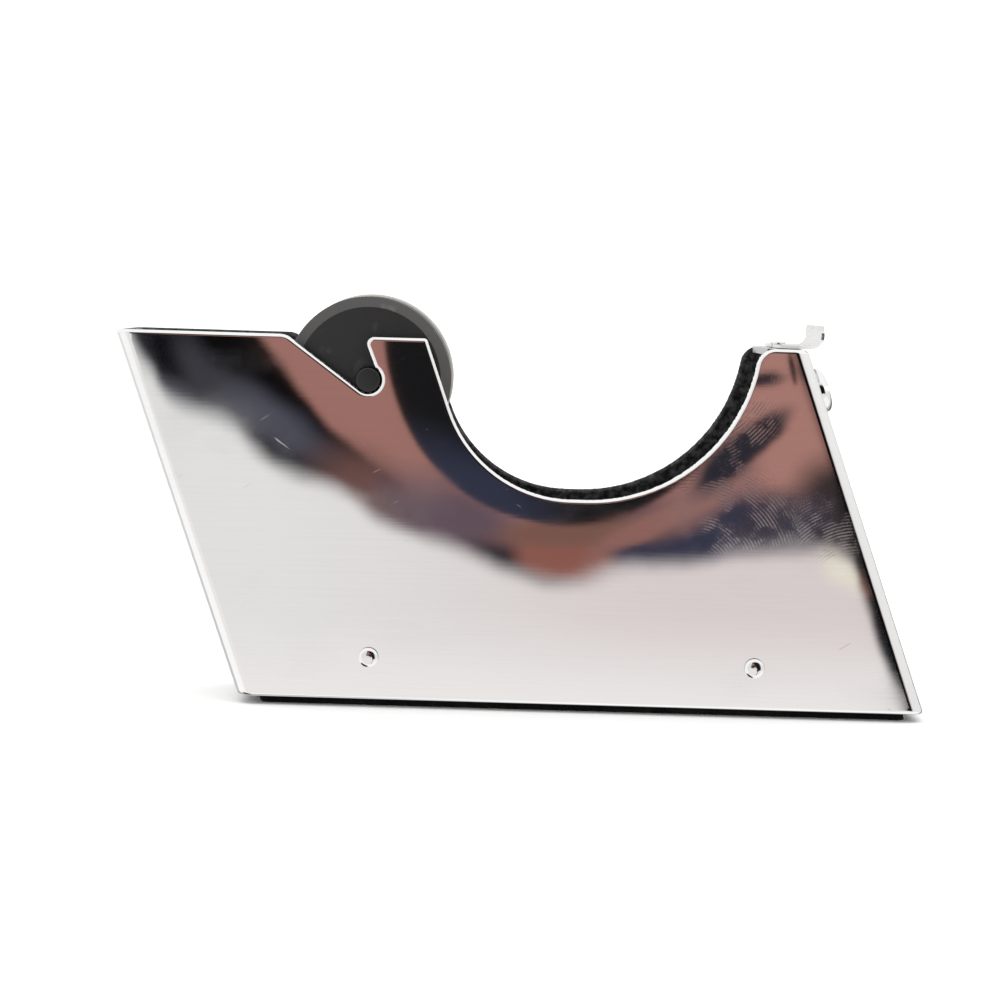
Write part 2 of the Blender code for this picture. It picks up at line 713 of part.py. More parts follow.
def build_front_screw():
    """Slotted dome-headed screw through the front wall and the bracket's leg, with a nut inside."""
    head = dome(FRONT_SCREW_HEAD_RADIUS, FRONT_SCREW_HEAD_EDGE, FRONT_SCREW_HEAD_HEIGHT)
    profile = screw_profile(head, FRONT_SCREW_RADIUS, FRONT_SCREW_LENGTH)
    screw = turned("front_screw", profile, SMALL_ROUND_STEPS * 2, fastener_chrome())
    turn = FRONT_NORMAL.to_track_quat("Z", "Y").to_euler()
    screw.rotation_euler = turn
    screw.location = front_screw_seat() + FRONT_NORMAL * SEAT_GAP
    made = bmesh.new()
    bmesh.ops.create_cube(made, size=1.0)
    size = Vector((4 * FRONT_SCREW_HEAD_RADIUS, FRONT_SCREW_SLOT_WIDTH, 2 * FRONT_SCREW_SLOT_DEPTH))
    bmesh.ops.transform(made, matrix=Matrix.Diagonal((*size, 1.0)), verts=made.verts)
    slot = node("front_screw_slot", made, None)
    slot.rotation_euler = turn
    slot.location = screw.location + FRONT_NORMAL * FRONT_SCREW_HEAD_HEIGHT
    cut(screw, slot)

    made = bmesh.new()
    corner_radius = FRONT_NUT_FLATS / 2 / math.cos(math.pi / 6)
    bmesh.ops.create_cone(
        made,
        cap_ends=True,
        segments=6,
        radius1=corner_radius,
        radius2=corner_radius,
        depth=FRONT_NUT_HEIGHT,
    )
    nut = node("front_nut", made, zinc_plate())
    nut.rotation_euler = turn
    behind = SHEET + GAP + BRACKET_THICKNESS + SEAT_GAP + FRONT_NUT_HEIGHT / 2
    nut.location = front_screw_seat() - FRONT_NORMAL * behind
    radius = FRONT_SCREW_RADIUS + HOLE_CLEARANCE
    drill(nut, "front_nut_bore", nut.location, FRONT_NORMAL, radius, 2 * FRONT_NUT_HEIGHT)


# ---- Assembly -----------------------------------------------------------------------------------
def clear_scene():
    for old in list(bpy.data.objects):
        bpy.data.objects.remove(old, do_unlink=True)


clear_scene()
build_shell()
build_ballast()
build_base_plate()
build_base_pad()
build_base_screws()
build_side_screws()
build_axle()
build_hub()
build_blade()
build_bracket()
build_blade_screw()
build_front_screw()
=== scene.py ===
import math

import bmesh
import bpy
import numpy as np
from mathutils import Matrix, Vector
from mathutils.geometry import delaunay_2d_cdt


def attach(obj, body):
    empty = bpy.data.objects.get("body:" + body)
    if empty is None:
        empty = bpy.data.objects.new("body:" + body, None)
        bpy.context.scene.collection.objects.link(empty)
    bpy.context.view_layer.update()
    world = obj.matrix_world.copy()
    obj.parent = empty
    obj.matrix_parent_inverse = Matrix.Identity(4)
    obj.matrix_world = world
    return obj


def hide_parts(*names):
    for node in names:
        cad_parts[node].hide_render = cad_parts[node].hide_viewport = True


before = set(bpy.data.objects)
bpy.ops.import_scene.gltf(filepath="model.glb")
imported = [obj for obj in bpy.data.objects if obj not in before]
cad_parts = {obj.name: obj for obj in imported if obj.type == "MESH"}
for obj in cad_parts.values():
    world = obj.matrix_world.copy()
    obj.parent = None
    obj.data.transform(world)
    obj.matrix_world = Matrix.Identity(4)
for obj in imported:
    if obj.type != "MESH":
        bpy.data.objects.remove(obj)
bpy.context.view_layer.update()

# ==== Body shell ==================================================================================
# One strip of 1.5 mm sheet steel, wrapped round a slanted former: two side plates, a front wall and
# a rear wall, open above. Slot and scoop are cut through both plates, the cut edges are buffed
# round, and the outside is chrome plated. The inside is dull: its very dark colour is painted shade
# for the inside of the shell, and its lighter mottled spots are painted light catching it.
BASE_LENGTH = 0.1060
BODY_WIDTH = 0.0270
BODY_HEIGHT = 0.0556
SLANT = math.radians(19.8)
SHEET = 0.0015
BEND_RADIUS = 0.0022
SHELL_BOTTOM_Z = 0.0013
TOP_Z = SHELL_BOTTOM_Z + BODY_HEIGHT
SIDEWAYS = BODY_HEIGHT * math.tan(SLANT)
FOOT_FRONT_X = (BASE_LENGTH + SIDEWAYS) / 2
FOOT_REAR_X = FOOT_FRONT_X - BASE_LENGTH
AXLE_X = FOOT_REAR_X - SIDEWAYS + 0.0388
AXLE_Z = TOP_Z - 0.0066
AXLE_RADIUS = 0.00187
POCKET_RADIUS = AXLE_RADIUS + 0.00018
EDGE_ROUND_WIDTH = 0.00064
EDGE_ROUND_DEPTH = 0.00052
SIDE_SCREW_Z = SHELL_BOTTOM_Z + 0.0065
SIDE_HOLE_RADIUS = 0.0012
FRONT_SCREW_Z = TOP_Z - 0.00685
FRONT_HOLE_RADIUS = 0.00195


def front_x(z):
    """Outer face of the front wall at a height."""
    return FOOT_FRONT_X - (z - SHELL_BOTTOM_Z) * math.tan(SLANT)


def rear_x(z):
    """Outer face of the rear wall at a height."""
    return FOOT_REAR_X - (z - SHELL_BOTTOM_Z) * math.tan(SLANT)


def meet(point, angle, other_point, other_angle):
    """Where two lines cross, each given by a point and a direction."""
    along = Vector((math.cos(angle), math.sin(angle)))
    other_along = Vector((math.cos(other_angle), math.sin(other_angle)))
    apart = Vector(other_point) - Vector(point)
    return Vector(point) + along * (apart.cross(other_along) / along.cross(other_along))


def rounded(corners, step, closed=True):
    """Outline through (u, v, radius) corners. Neighbouring radii share the side between them."""
    count = len(corners)
    points = [Vector(corner[:2]) for corner in corners]
    sides = [(points[(i + 1) % count] - points[i]).length for i in range(count)]
    turns = []
    for i in range(count):
        before = points[i] - points[i - 1]
        after = points[(i + 1) % count] - points[i]
        turns.append(math.atan2(before.cross(after), before.dot(after)))
    if not closed:
        turns[0] = turns[-1] = 0.0
    reach = [corners[i][2] * math.tan(abs(turns[i]) / 2) for i in range(count)]
    outline = []
    for i in range(count):
        shares = [1.0]
        for k, neighbour in ((i - 1, i - 1), (i, (i + 1) % count)):
            if reach[i] + reach[neighbour] > 0:
                shares.append(sides[k] / (reach[i] + reach[neighbour]))
        fitted = reach[i] * min(shares)
        if fitted < 1e-7:
            outline.append(points[i])
            continue
        radius = fitted / math.tan(abs(turns[i]) / 2)
        before = (points[i] - points[i - 1]).normalized()
        start = points[i] - before * fitted
        side = math.copysign(1.0, turns[i])
        centre = start + Vector((-before.y, before.x)) * side * radius
        spoke = start - centre
        steps = max(2, math.ceil(abs(turns[i]) / step))
        for k in range(steps + 1):
            outline.append(centre + Matrix.Rotation(turns[i] * k / steps, 2) @ spoke)
    first = 0 if closed else 1
    kept = [] if closed else [outline[0]]
    for i in range(first, len(outline)):
        if (outline[i] - outline[i - 1]).length > 1e-6:
            kept.append(outline[i])
    return kept


def spaced(outline, longest):
    """Same outline with points added along its long sides."""
    made = []
    for i in range(len(outline) - 1):
        side = outline[i + 1] - outline[i]
        parts = max(1, math.ceil(side.length / longest))
        made += [outline[i] + side * k / parts for k in range(parts)]
    return made + [outline[-1]]


def plate_top_edge():
    """Upper edge of a side plate, from the rear through slot and scoop to the front."""
    slope = math.radians(35.8)
    centre = Vector((AXLE_X, AXLE_Z))
    slope_touch = centre + POCKET_RADIUS * Vector((-math.sin(slope), -math.cos(slope)))
    right_touch = centre + Vector((POCKET_RADIUS, 0.0))
    wrap = math.radians(50)
    wrap_touch = centre + POCKET_RADIUS * Vector((math.cos(wrap), math.sin(wrap)))
    over_hook = wrap + math.pi / 2
    lip = wrap_touch + 0.0004 * Vector((math.cos(over_hook), math.sin(over_hook)))
    tower_x = AXLE_X + 0.0088
    floor_z = TOP_Z - 0.0240
    front_top_x = front_x(TOP_Z) - 0.0075
    top = (AXLE_X, TOP_Z)
    corners = [
        (rear_x(TOP_Z), TOP_Z, 0.0),
        (*meet(slope_touch, -slope, top, 0.0), 0.0030),
        (*meet(slope_touch, -slope, right_touch, math.pi / 2), POCKET_RADIUS),
        (*meet(right_touch, math.pi / 2, wrap_touch, over_hook), POCKET_RADIUS),
        (*lip, 0.0010),
        (*meet(lip, math.radians(112), top, 0.0), 0.0012),
        (tower_x, TOP_Z, 0.0007),
        (*meet((tower_x, TOP_Z), SLANT - math.pi / 2, (tower_x, floor_z), 0.0), 0.0200),
        (*meet((front_top_x, TOP_Z), math.radians(80.3), (tower_x, floor_z), 0.0), 0.02585),
        (front_top_x, TOP_Z, 0.0030),
        (front_x(TOP_Z), TOP_Z, 0.0),
    ]
    return rounded(corners, math.radians(4), closed=False)


def section_at(run):
    """Horizontal section of the shell's near half. The run goes from the rear wall's middle along
    the near plate to the front wall's middle, and is X measured from the section's middle on the
    plate. Gives the outer point, the outward direction for a unit of sheet, and the tangent."""
    half_length, half_width = BASE_LENGTH / 2, BODY_WIDTH / 2
    bend = BEND_RADIUS * math.pi / 2
    start = half_length - BEND_RADIUS
    side = math.copysign(1.0, run)
    past = abs(run) - start
    turn = min(max(past / BEND_RADIUS, 0.0), math.pi / 2)
    x = min(abs(run), start) + BEND_RADIUS * math.sin(turn)
    y = -half_width + BEND_RADIUS * (1 - math.cos(turn)) + max(past - bend, 0.0)
    out = Vector((side * math.sin(turn) / math.cos(SLANT), -math.cos(turn), 0.0))
    along = Vector((math.cos(turn), side * math.sin(turn), 0.0))
    return Vector((side * x, y, 0.0)), out, along


def side_screw_places():
    """Rear and front X of the side screws, in both plates."""
    return [
        ("rear", rear_x(SIDE_SCREW_Z) + 0.0224),
        ("front", front_x(SIDE_SCREW_Z) - 0.0243),
    ]


def build_body_shell():
    """Both halves of the wrapped sheet: a flattened half is meshed, wrapped and mirrored."""
    half_run = BASE_LENGTH / 2 - 2 * BEND_RADIUS + BEND_RADIUS * math.pi / 2 + BODY_WIDTH / 2
    bend_start = BASE_LENGTH / 2 - BEND_RADIUS

    def middle(z):
        return (front_x(z) + rear_x(z)) / 2

    # Outline of the near half, flattened: bottom edge, front middle with half the screw hole, top
    # edge, rear middle.
    hole_z, hole = FRONT_SCREW_Z, FRONT_HOLE_RADIUS
    sinks = [EDGE_ROUND_WIDTH * (1 - math.cos(math.radians(step))) for step in range(15, 91, 15)]
    heights = [SHELL_BOTTOM_Z + sink for sink in sinks]
    heights += list(np.arange(SHELL_BOTTOM_Z + 0.0022, TOP_Z - 0.0015, 0.0011))
    heights += [TOP_Z - sink for sink in reversed(sinks)]
    front_cut = [(half_run + middle(SHELL_BOTTOM_Z), SHELL_BOTTOM_Z)]
    front_cut += [(half_run + middle(z), z) for z in heights if z < hole_z - hole - 0.0002]
    for k in range(25):
        angle = -math.pi / 2 - math.pi * k / 24
        z = hole_z + hole * math.cos(SLANT) * math.sin(angle)
        front_cut.append((half_run + middle(z) + hole * math.cos(angle), z))
    front_cut += [(half_run + middle(z), z) for z in heights if z > hole_z + hole + 0.0002]
    front_cut.append((half_run + middle(TOP_Z), TOP_Z))
    rear_line = [Vector((middle(z) - half_run, z)) for z in reversed(heights)]
    top = [Vector((half_run + middle(TOP_Z), TOP_Z))]
    top += list(reversed(plate_top_edge()[1:-1]))
    top.append(Vector((middle(TOP_Z) - half_run, TOP_Z)))
    top = spaced(top, 0.0003)
    bottom = [
        Vector((middle(SHELL_BOTTOM_Z) - half_run, SHELL_BOTTOM_Z)),
        Vector((middle(SHELL_BOTTOM_Z) + half_run, SHELL_BOTTOM_Z)),
    ]
    bottom = spaced(bottom, 0.0006)
    border = bottom[:-1] + [Vector(p) for p in front_cut[:-1]] + top + rear_line
    loops = [border]
    for _, centre_x in side_screw_places():
        loop = []
        for k in range(32):
            angle = -math.tau * k / 32
            x = centre_x + SIDE_HOLE_RADIUS * math.cos(angle)
            loop.append(Vector((x, SIDE_SCREW_Z + SIDE_HOLE_RADIUS * math.sin(angle))))
        loops.append(loop)

    def away(points):
        """Distance to the cut edges, and the way towards the nearest one."""
        best = np.full(len(points), 1.0)
        toward = np.zeros((len(points), 2))
        for line in (top, bottom):
            a = np.array([p[:] for p in line[:-1]])
            b = np.array([p[:] for p in line[1:]])
            for first in range(0, len(points), 2000):
                p = points[first : first + 2000, None, :]
                share = ((p - a) * (b - a)).sum(2) / ((b - a) ** 2).sum(1)
                foot = a + np.clip(share, 0, 1)[..., None] * (b - a)
                gap = foot - p
                dist = np.sqrt((gap**2).sum(2))
                pick = dist.argmin(1)
                row = np.arange(len(pick))
                near = dist[row, pick]
                closer = near < best[first : first + 2000]
                index = np.nonzero(closer)[0] + first
                best[index] = near[closer]
                toward[index] = gap[row, pick][closer] / np.maximum(near[closer], 1e-9)[:, None]
        return best, toward

    def inside(points):
        """Even-odd test against every loop."""
        found = np.zeros(len(points), bool)
        for loop in loops:
            a = np.array([p[:] for p in loop])
            b = np.roll(a, -1, 0)
            for (x0, z0), (x1, z1) in zip(a, b):
                if z0 == z1:
                    continue
                crosses = (z0 > points[:, 1]) != (z1 > points[:, 1])
                at = x0 + (points[:, 1] - z0) * (x1 - x0) / (z1 - z0)
                found ^= crosses & (points[:, 0] < at)
        return found

    # Rows of points just inside the cut edges, then columns over bends and plates.
    extra = []
    for deep in sinks:
        row = []
        for line in (top, bottom):
            for i in range(1, len(line) - 1):
                along = (line[i + 1] - line[i - 1]).normalized()
                row.append(line[i] + Vector((-along.y, along.x)) * deep)
        row = np.array([p[:] for p in row])
        dist = away(row)[0]
        extra.append(row[dist > deep - 2e-6])
    bend = BEND_RADIUS * math.pi / 2
    runs = [side * (bend_start + bend * k / 14) for side in (-1, 1) for k in range(15)]
    runs += [bend_start * k / 16 for k in range(-15, 16)]
    runs += [side * (half_run - 0.0001 - k * 0.003) for side in (-1, 1) for k in range(4)]
    columns = []
    for run in runs:
        for z in np.arange(SHELL_BOTTOM_Z + 0.0012, TOP_Z - 0.0009, 0.0022):
            columns.append((run + middle(z), z))
    columns = np.array(columns)
    dist = away(columns)[0]
    columns = columns[(dist > EDGE_ROUND_WIDTH * 1.15) & inside(columns)]
    for loop in loops[1:]:
        centre = sum(loop, Vector((0.0, 0.0))) / len(loop)
        far = np.hypot(columns[:, 0] - centre.x, columns[:, 1] - centre.y)
        columns = columns[far > SIDE_HOLE_RADIUS + 0.0004]
    extra = np.concatenate(extra)
    extra = extra[inside(extra)]

    loose = [Vector(p) * 1000 for p in np.concatenate([extra, columns]).tolist()]
    fixed, edges = [], []
    for loop in loops:
        base = len(fixed)
        fixed += [p * 1000 for p in loop]
        edges += [(base + i, base + (i + 1) % len(loop)) for i in range(len(loop))]
    flat, _, triangles, *_ = delaunay_2d_cdt(fixed + loose, edges, [], 0, 1e-6)
    flat = np.array([p[:] for p in flat]) / 1000
    triangles = np.array(triangles)
    triangles = triangles[inside(flat[triangles].mean(1))]
    at_middle = half_run - np.abs(flat[:, 0] - [middle(z) for z in flat[:, 1]]) < 2e-6
    triangles = triangles[~at_middle[triangles].all(1)]
    used = np.unique(triangles)
    renumber = np.full(len(flat), -1)
    renumber[used] = np.arange(len(used))
    flat, triangles = flat[used], renumber[triangles]

    # From the flattened half to the wrapped one, outer and inner side, with their own normals.
    dist, toward = away(flat)
    count = len(flat)
    points, normals = np.zeros((2 * count, 3)), np.zeros((2 * count, 3))
    for i, (q, z) in enumerate(flat):
        run = q - middle(z)
        outer, out, along = section_at(run)
        outer = outer + Vector((middle(z), 0.0, z))
        rise = Vector((-math.tan(SLANT), 0.0, 1.0))
        face = along.cross(rise).normalized()
        share = min(dist[i] / EDGE_ROUND_WIDTH, 1.0)
        level = math.sqrt(max(0.0, 1 - (1 - share) ** 2))
        deep = EDGE_ROUND_DEPTH * (1 - level)
        up = (Vector((0, 0, 1)) - face * face.z).normalized()
        edge_way = along * toward[i][0] + up * toward[i][1]
        lean = edge_way * (1 - share) / EDGE_ROUND_WIDTH
        points[i] = outer - out * deep
        points[count + i] = outer - out * (SHEET - deep)
        normals[i] = (face * level / EDGE_ROUND_DEPTH + lean).normalized()
        normals[count + i] = (-face * level / EDGE_ROUND_DEPTH + lean).normalized()
    seam = np.abs(points[:, 1]) < 2e-6
    points[seam, 1] = 0.0
    normals[seam, 1] = 0.0

    first, second, third = (flat[triangles[:, k]] for k in range(3))
    area = np.cross(second - first, third - first)
    triangles[area < 0] = triangles[area < 0][:, ::-1]
    faces = [tuple(t) for t in triangles]
    inner_faces = [tuple(t[::-1] + count) for t in triangles]
    sides = {}
    for a, b, c in triangles:
        for start, end in ((a, b), (b, c), (c, a)):
            sides[(start, end)] = True
    walls = []
    for start, end in sides:
        if (end, start) not in sides and not (seam[start] and seam[end]):
            walls.append((start, start + count, end + count, end))
    mirror = np.arange(2 * count)
    mirror[~seam] = 2 * count + np.arange((~seam).sum())
    points = np.concatenate([points, points[~seam] * (1, -1, 1)])
    normals = np.concatenate([normals, normals[~seam] * (1, -1, 1)])
    shown = faces + walls + inner_faces
    finishes = [0] * (len(faces) + len(walls)) + [1] * len(inner_faces)
    shown += [tuple(int(mirror[i]) for i in reversed(face)) for face in shown]
    finishes += finishes
    mesh = bpy.data.meshes.new("body_shell")
    mesh.from_pydata(points.tolist(), [], [[int(i) for i in face] for face in shown])
    mesh.shade_smooth()
    mesh.polygons.foreach_set("material_index", finishes)
    mesh.update()
    mesh.normals_split_custom_set_from_vertices(normals.tolist())
    made = bpy.data.objects.new("body_shell", mesh)
    bpy.context.scene.collection.objects.link(made)
    return made


def place(tree, kind, inputs=None, **settings):
    """Node with its settings, and with inputs that are values or other nodes' outputs."""
    made = tree.nodes.new("ShaderNode" + kind)
    for key, value in settings.items():
        setattr(made, key, value)
    for key, value in (inputs or {}).items():
        if isinstance(value, bpy.types.NodeSocket):
            tree.links.new(value, made.inputs[key])
        else:
            made.inputs[key].default_value = value
    return made


def blank_finish(name, colour, metallic, roughness):
    """Finish with one even colour, ready for the nodes that vary it."""
    made = bpy.data.materials.new(name)
    made.use_nodes = True
    shader = made.node_tree.nodes["Principled BSDF"]
    shader.inputs["Base Color"].default_value = (*colour, 1.0)
    shader.inputs["Metallic"].default_value = metallic
    shader.inputs["Roughness"].default_value = roughness
    return made, made.node_tree, shader


def own_place(tree):
    """Coordinates of the piece itself, in metres."""
    return place(tree, "TexCoord").outputs["Object"]


def laid(tree, where, at, turn=(0.0, 0.0, 0.0), size=(1.0, 1.0, 1.0), kind="POINT"):
    """Coordinates turned, scaled and moved. With TEXTURE the pattern itself is laid that way."""
    inputs = {"Vector": where, "Location": at, "Rotation": turn, "Scale": size}
    made = place(tree, "Mapping", inputs, vector_type=kind)
    return made.outputs["Vector"]


def own_noise(tree, fineness, detail=4.0, seed=0.0):
    """Noise on the piece's own coordinates. Its fineness is one number, or one for each axis."""
    size = fineness if isinstance(fineness, tuple) else (fineness,) * 3
    where = laid(tree, own_place(tree), (seed, seed * 0.7, -seed), size=size)
    inputs = {"Vector": where, "Scale": 1.0, "Detail": detail, "Roughness": 0.55}
    return place(tree, "TexNoise", inputs).outputs["Fac"]


def between(tree, value, low, high, to_low=0.0, to_high=1.0):
    """Value brought from one range to another, held at the ends."""
    inputs = {0: value, 1: low, 2: high, 3: to_low, 4: to_high}
    made = place(tree, "MapRange", inputs, interpolation_type="SMOOTHSTEP")
    return made.outputs["Result"]


def figure(tree, operation, a, b):
    """Two values joined by a sum of arithmetic."""
    return place(tree, "Math", {0: a, 1: b}, operation=operation).outputs[0]


def vector_figure(tree, operation, a, b=(0.0, 0.0, 0.0)):
    """The same for vectors."""
    return place(tree, "VectorMath", {0: a, 1: b}, operation=operation).outputs


def weighed(tree, start, *terms):
    """A starting figure, plus each value times its weight."""
    total = start
    for value, weight in terms:
        total = figure(tree, "ADD", total, figure(tree, "MULTIPLY", value, weight))
    return total


def blended(tree, share, low, high):
    """Colour on the way from the low one to the high one."""
    inputs = {0: share}
    for index, value in ((6, low), (7, high)):
        is_socket = isinstance(value, bpy.types.NodeSocket)
        inputs[index] = value if is_socket else (*value, 1.0)
    return place(tree, "Mix", inputs, data_type="RGBA").outputs[2]


def tinted(tree, shader, share, low, high):
    """Gives the finish its base colour, between two."""
    tree.links.new(blended(tree, share, low, high), shader.inputs["Base Color"])


def roughened(tree, shader, value, low, high, to_low, to_high):
    """Gives the finish its roughness, from a value's range."""
    tree.links.new(between(tree, value, low, high, to_low, to_high), shader.inputs["Roughness"])


def raised(tree, shader, height, strength, depth):
    """Gives the finish its fine relief."""
    inputs = {"Strength": strength, "Distance": depth, "Height": height}
    bump = place(tree, "Bump", inputs)
    tree.links.new(bump.outputs["Normal"], shader.inputs["Normal"])


def soft_oval(tree, where, at, turn, size, soft):
    """Soft-edged oval on any coordinates: 1 inside, 0 outside."""
    where = laid(tree, where, at, turn, size, "TEXTURE")
    far = vector_figure(tree, "LENGTH", where)["Value"]
    return between(tree, far, 1.0 - soft, 1.0 + soft, 1.0, 0.0)


def ridges(tree, x, z, pitch, seed):
    """Fine curved lines round a point, a little wavy."""
    inputs = {
        "Vector": laid(tree, own_place(tree), (-x, 0.0, -z)),
        "Scale": 0.32 / pitch,
        "Distortion": 5.0,
        "Detail": 1.5,
        "Detail Scale": 0.12,
        "Phase Offset": seed,
    }
    made = place(tree, "TexWave", inputs, wave_type="RINGS", rings_direction="Y")
    return made.outputs["Fac"]


def scratches(tree, turn, seed, rarity):
    """Short hairlines that lie at an angle on the side plates."""
    at, angles = (seed, 0.0, seed), (0.0, math.radians(turn), 0.0)
    where = laid(tree, own_place(tree), at, angles, (0.007, 0.05, 0.0004), "TEXTURE")
    inputs = {"Vector": where, "Scale": 1.0, "Detail": 1.0}
    noise = place(tree, "TexNoise", inputs)
    return between(tree, noise.outputs["Fac"], rarity, rarity + 0.03)


def cells(tree, fineness):
    """Scattered points with a cell round each, on the piece's own coordinates."""
    inputs = {"Vector": own_place(tree), "Scale": fineness}
    return place(tree, "TexVoronoi", inputs)


def chrome_finish():
    """Bright plating: faint waves of the sheet, buffing lines along it, hazy smudges, hairlines,
    dust, and greasy finger marks near the front tower. A mark is an oval (place, size, tilt) with
    ridges round a point, at their own pitch."""
    made, tree, shader = blank_finish("shell_chrome_plating", (0.90, 0.90, 0.90), 1.0, 0.02)
    haze = between(tree, own_noise(tree, (55, 55, 90), seed=3.1), 0.48, 0.72)
    lines = own_noise(tree, (45, 900, 2600), detail=5.0, seed=1.7)
    falling, rising = scratches(tree, 38, 0.31, 0.81), scratches(tree, -32, 0.72, 0.80)
    hair = figure(tree, "MAXIMUM", falling, rising)
    marks = []
    for x, z, wide, tall, tilt, centre_x, centre_z, pitch, seed in (
        (0.0330, 0.0320, 0.0090, 0.0065, -12, 0.0270, 0.0225, 0.00050, 0.0),
        (0.0470, 0.0300, 0.0050, 0.0050, 18, 0.0520, 0.0180, 0.00048, 2.0),
        (0.0338, 0.0440, 0.0075, 0.0032, 60, 0.0230, 0.0560, 0.00052, 4.0),
    ):
        angles, size = (0.0, -math.radians(tilt), 0.0), (wide, 1000.0, tall)
        mark = soft_oval(tree, own_place(tree), (x, 0.0, z), angles, size, 0.5)
        lines_in_it = ridges(tree, centre_x, centre_z, pitch, seed)
        marks.append(figure(tree, "MULTIPLY", mark, lines_in_it))
    prints = figure(tree, "MAXIMUM", figure(tree, "MAXIMUM", marks[0], marks[1]), marks[2])
    patchy = between(tree, own_noise(tree, 420, seed=6.0), 0.42, 0.62)
    prints = figure(tree, "MULTIPLY", prints, patchy)
    rough = weighed(tree, 0.012, (haze, 0.020), (lines, 0.012), (hair, 0.10), (prints, 0.05))
    tree.links.new(rough, shader.inputs["Roughness"])
    dots = between(tree, cells(tree, 900.0).outputs["Distance"], 0.04, 0.10, 1.0, 0.0)
    dusty = between(tree, own_noise(tree, 130, seed=2.0), 0.52, 0.62)
    dust = figure(tree, "MULTIPLY", dots, dusty)
    clear = weighed(tree, 1.0, (dust, -0.13), (prints, -0.035), (haze, -0.012))
    tree.links.new(clear, shader.inputs["Metallic"])
    grain = weighed(tree, 0.0, (haze, 0.5), (between(tree, lines, 0.2, 0.8), 0.5))
    tinted(tree, shader, grain, (0.92, 0.915, 0.91), (0.87, 0.865, 0.87))
    sheet_waves = own_noise(tree, (28, 28, 34), detail=1.0, seed=4.0)
    relief = weighed(tree, 0.0, (sheet_waves, 8.0), (lines, 0.08))
    raised(tree, shader, relief, 1.0, 0.0000012)
    return made


def inside_painted_shade_finish():
    """Unbuffed inside of the sheet, dull: its very dark colour is painted shade, and its lighter
    mottled spots are painted light.
    """
    # Very dark base colour: painted shade for the inside of the shell.
    made, tree, shader = blank_finish("shell_inside_painted_shade", (0.03, 0.03, 0.032), 0.7, 0.5)
    mottle = own_noise(tree, 900, detail=6.0, seed=9.0)
    # Lighter mottled spots: painted light, where light catches the inside.
    painted_light_spots = between(tree, mottle, 0.35, 0.75)
    tinted(tree, shader, painted_light_spots, (0.012, 0.012, 0.013), (0.10, 0.10, 0.105))
    roughened(tree, shader, mottle, 0.3, 0.7, 0.32, 0.62)
    raised(tree, shader, mottle, 0.5, 0.00005)
    return made


body_shell = build_body_shell()
body_shell.data.materials.append(chrome_finish())
body_shell.data.materials.append(inside_painted_shade_finish())
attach(body_shell, "base")
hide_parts("shell")

# ==== Foot: weight, closing plate and its screws ==================================================
# A cast-iron block drops into the lower part of the shell and is covered by a zinc-plated steel
# plate, held by four countersunk screws. All of it sits behind the walls, above the pad.


def cast_iron_finish():
    """Grey iron as it left the sand."""
    made, tree, shader = blank_finish("rough_cast_iron", (0.06, 0.06, 0.062), 0.5, 0.7)
    grain = own_noise(tree, 1400, detail=8.0, seed=12.0)
    broad = own_noise(tree, 160, detail=3.0, seed=13.0)
    both = weighed(tree, 0.0, (grain, 0.6), (broad, 0.4))
    tinted(tree, shader, both, (0.035, 0.034, 0.034), (0.11, 0.105, 0.10))
    roughened(tree, shader, grain, 0.3, 0.7, 0.55, 0.85)
    raised(tree, shader, both, 0.8, 0.00018)
    return made


def zinc_finish():
    """Zinc in small flat crystals, each its own grey."""
    made, tree, shader = blank_finish("zinc_plating", (0.50, 0.51, 0.52), 1.0, 0.38)
    flakes = cells(tree, 520.0).outputs["Color"]
    grey = place(tree, "SeparateColor", {"Color": flakes}).outputs["Red"]
    tinted(tree, shader, grey, (0.42, 0.43, 0.45), (0.58, 0.59, 0.60))
    roughened(tree, shader, grey, 0.0, 1.0, 0.28, 0.48)
    return made


def dress(name, finish):
    """Gives a piece of the frame its finish."""
    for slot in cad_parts[name].material_slots:
        slot.material = finish


def bright_screw_finish():
    """Polished chrome of the small screws, with fine wear."""
    made, tree, shader = blank_finish("screw_chrome_plating", (0.88, 0.88, 0.88), 1.0, 0.05)
    wear = own_noise(tree, 900, detail=5.0, seed=20.0)
    roughened(tree, shader, wear, 0.35, 0.75, 0.03, 0.12)
    tinted(tree, shader, wear, (0.84, 0.84, 0.84), (0.92, 0.92, 0.92))
    raised(tree, shader, wear, 0.3, 0.000004)
    return made


zinc_plating = zinc_finish()
screw_chrome = bright_screw_finish()
dress("ballast_block", cast_iron_finish())
dress("base_plate", zinc_plating)
for corner in ("near_rear", "far_rear", "near_front", "far_front"):
    dress("base_screw_" + corner, screw_chrome)

# ==== Base pad ====================================================================================
# Soft black rubber sheet, 2 mm thick, glued under the plate. It stands 1.3 mm proud of the shell,
# and its cut edge bulges slightly under the weight.
PAD_INSET = SHEET + 0.0014
PAD_THICKNESS = 0.0020
PAD_CORNER_RADIUS = 0.0012
PAD_EDGE = 0.00022


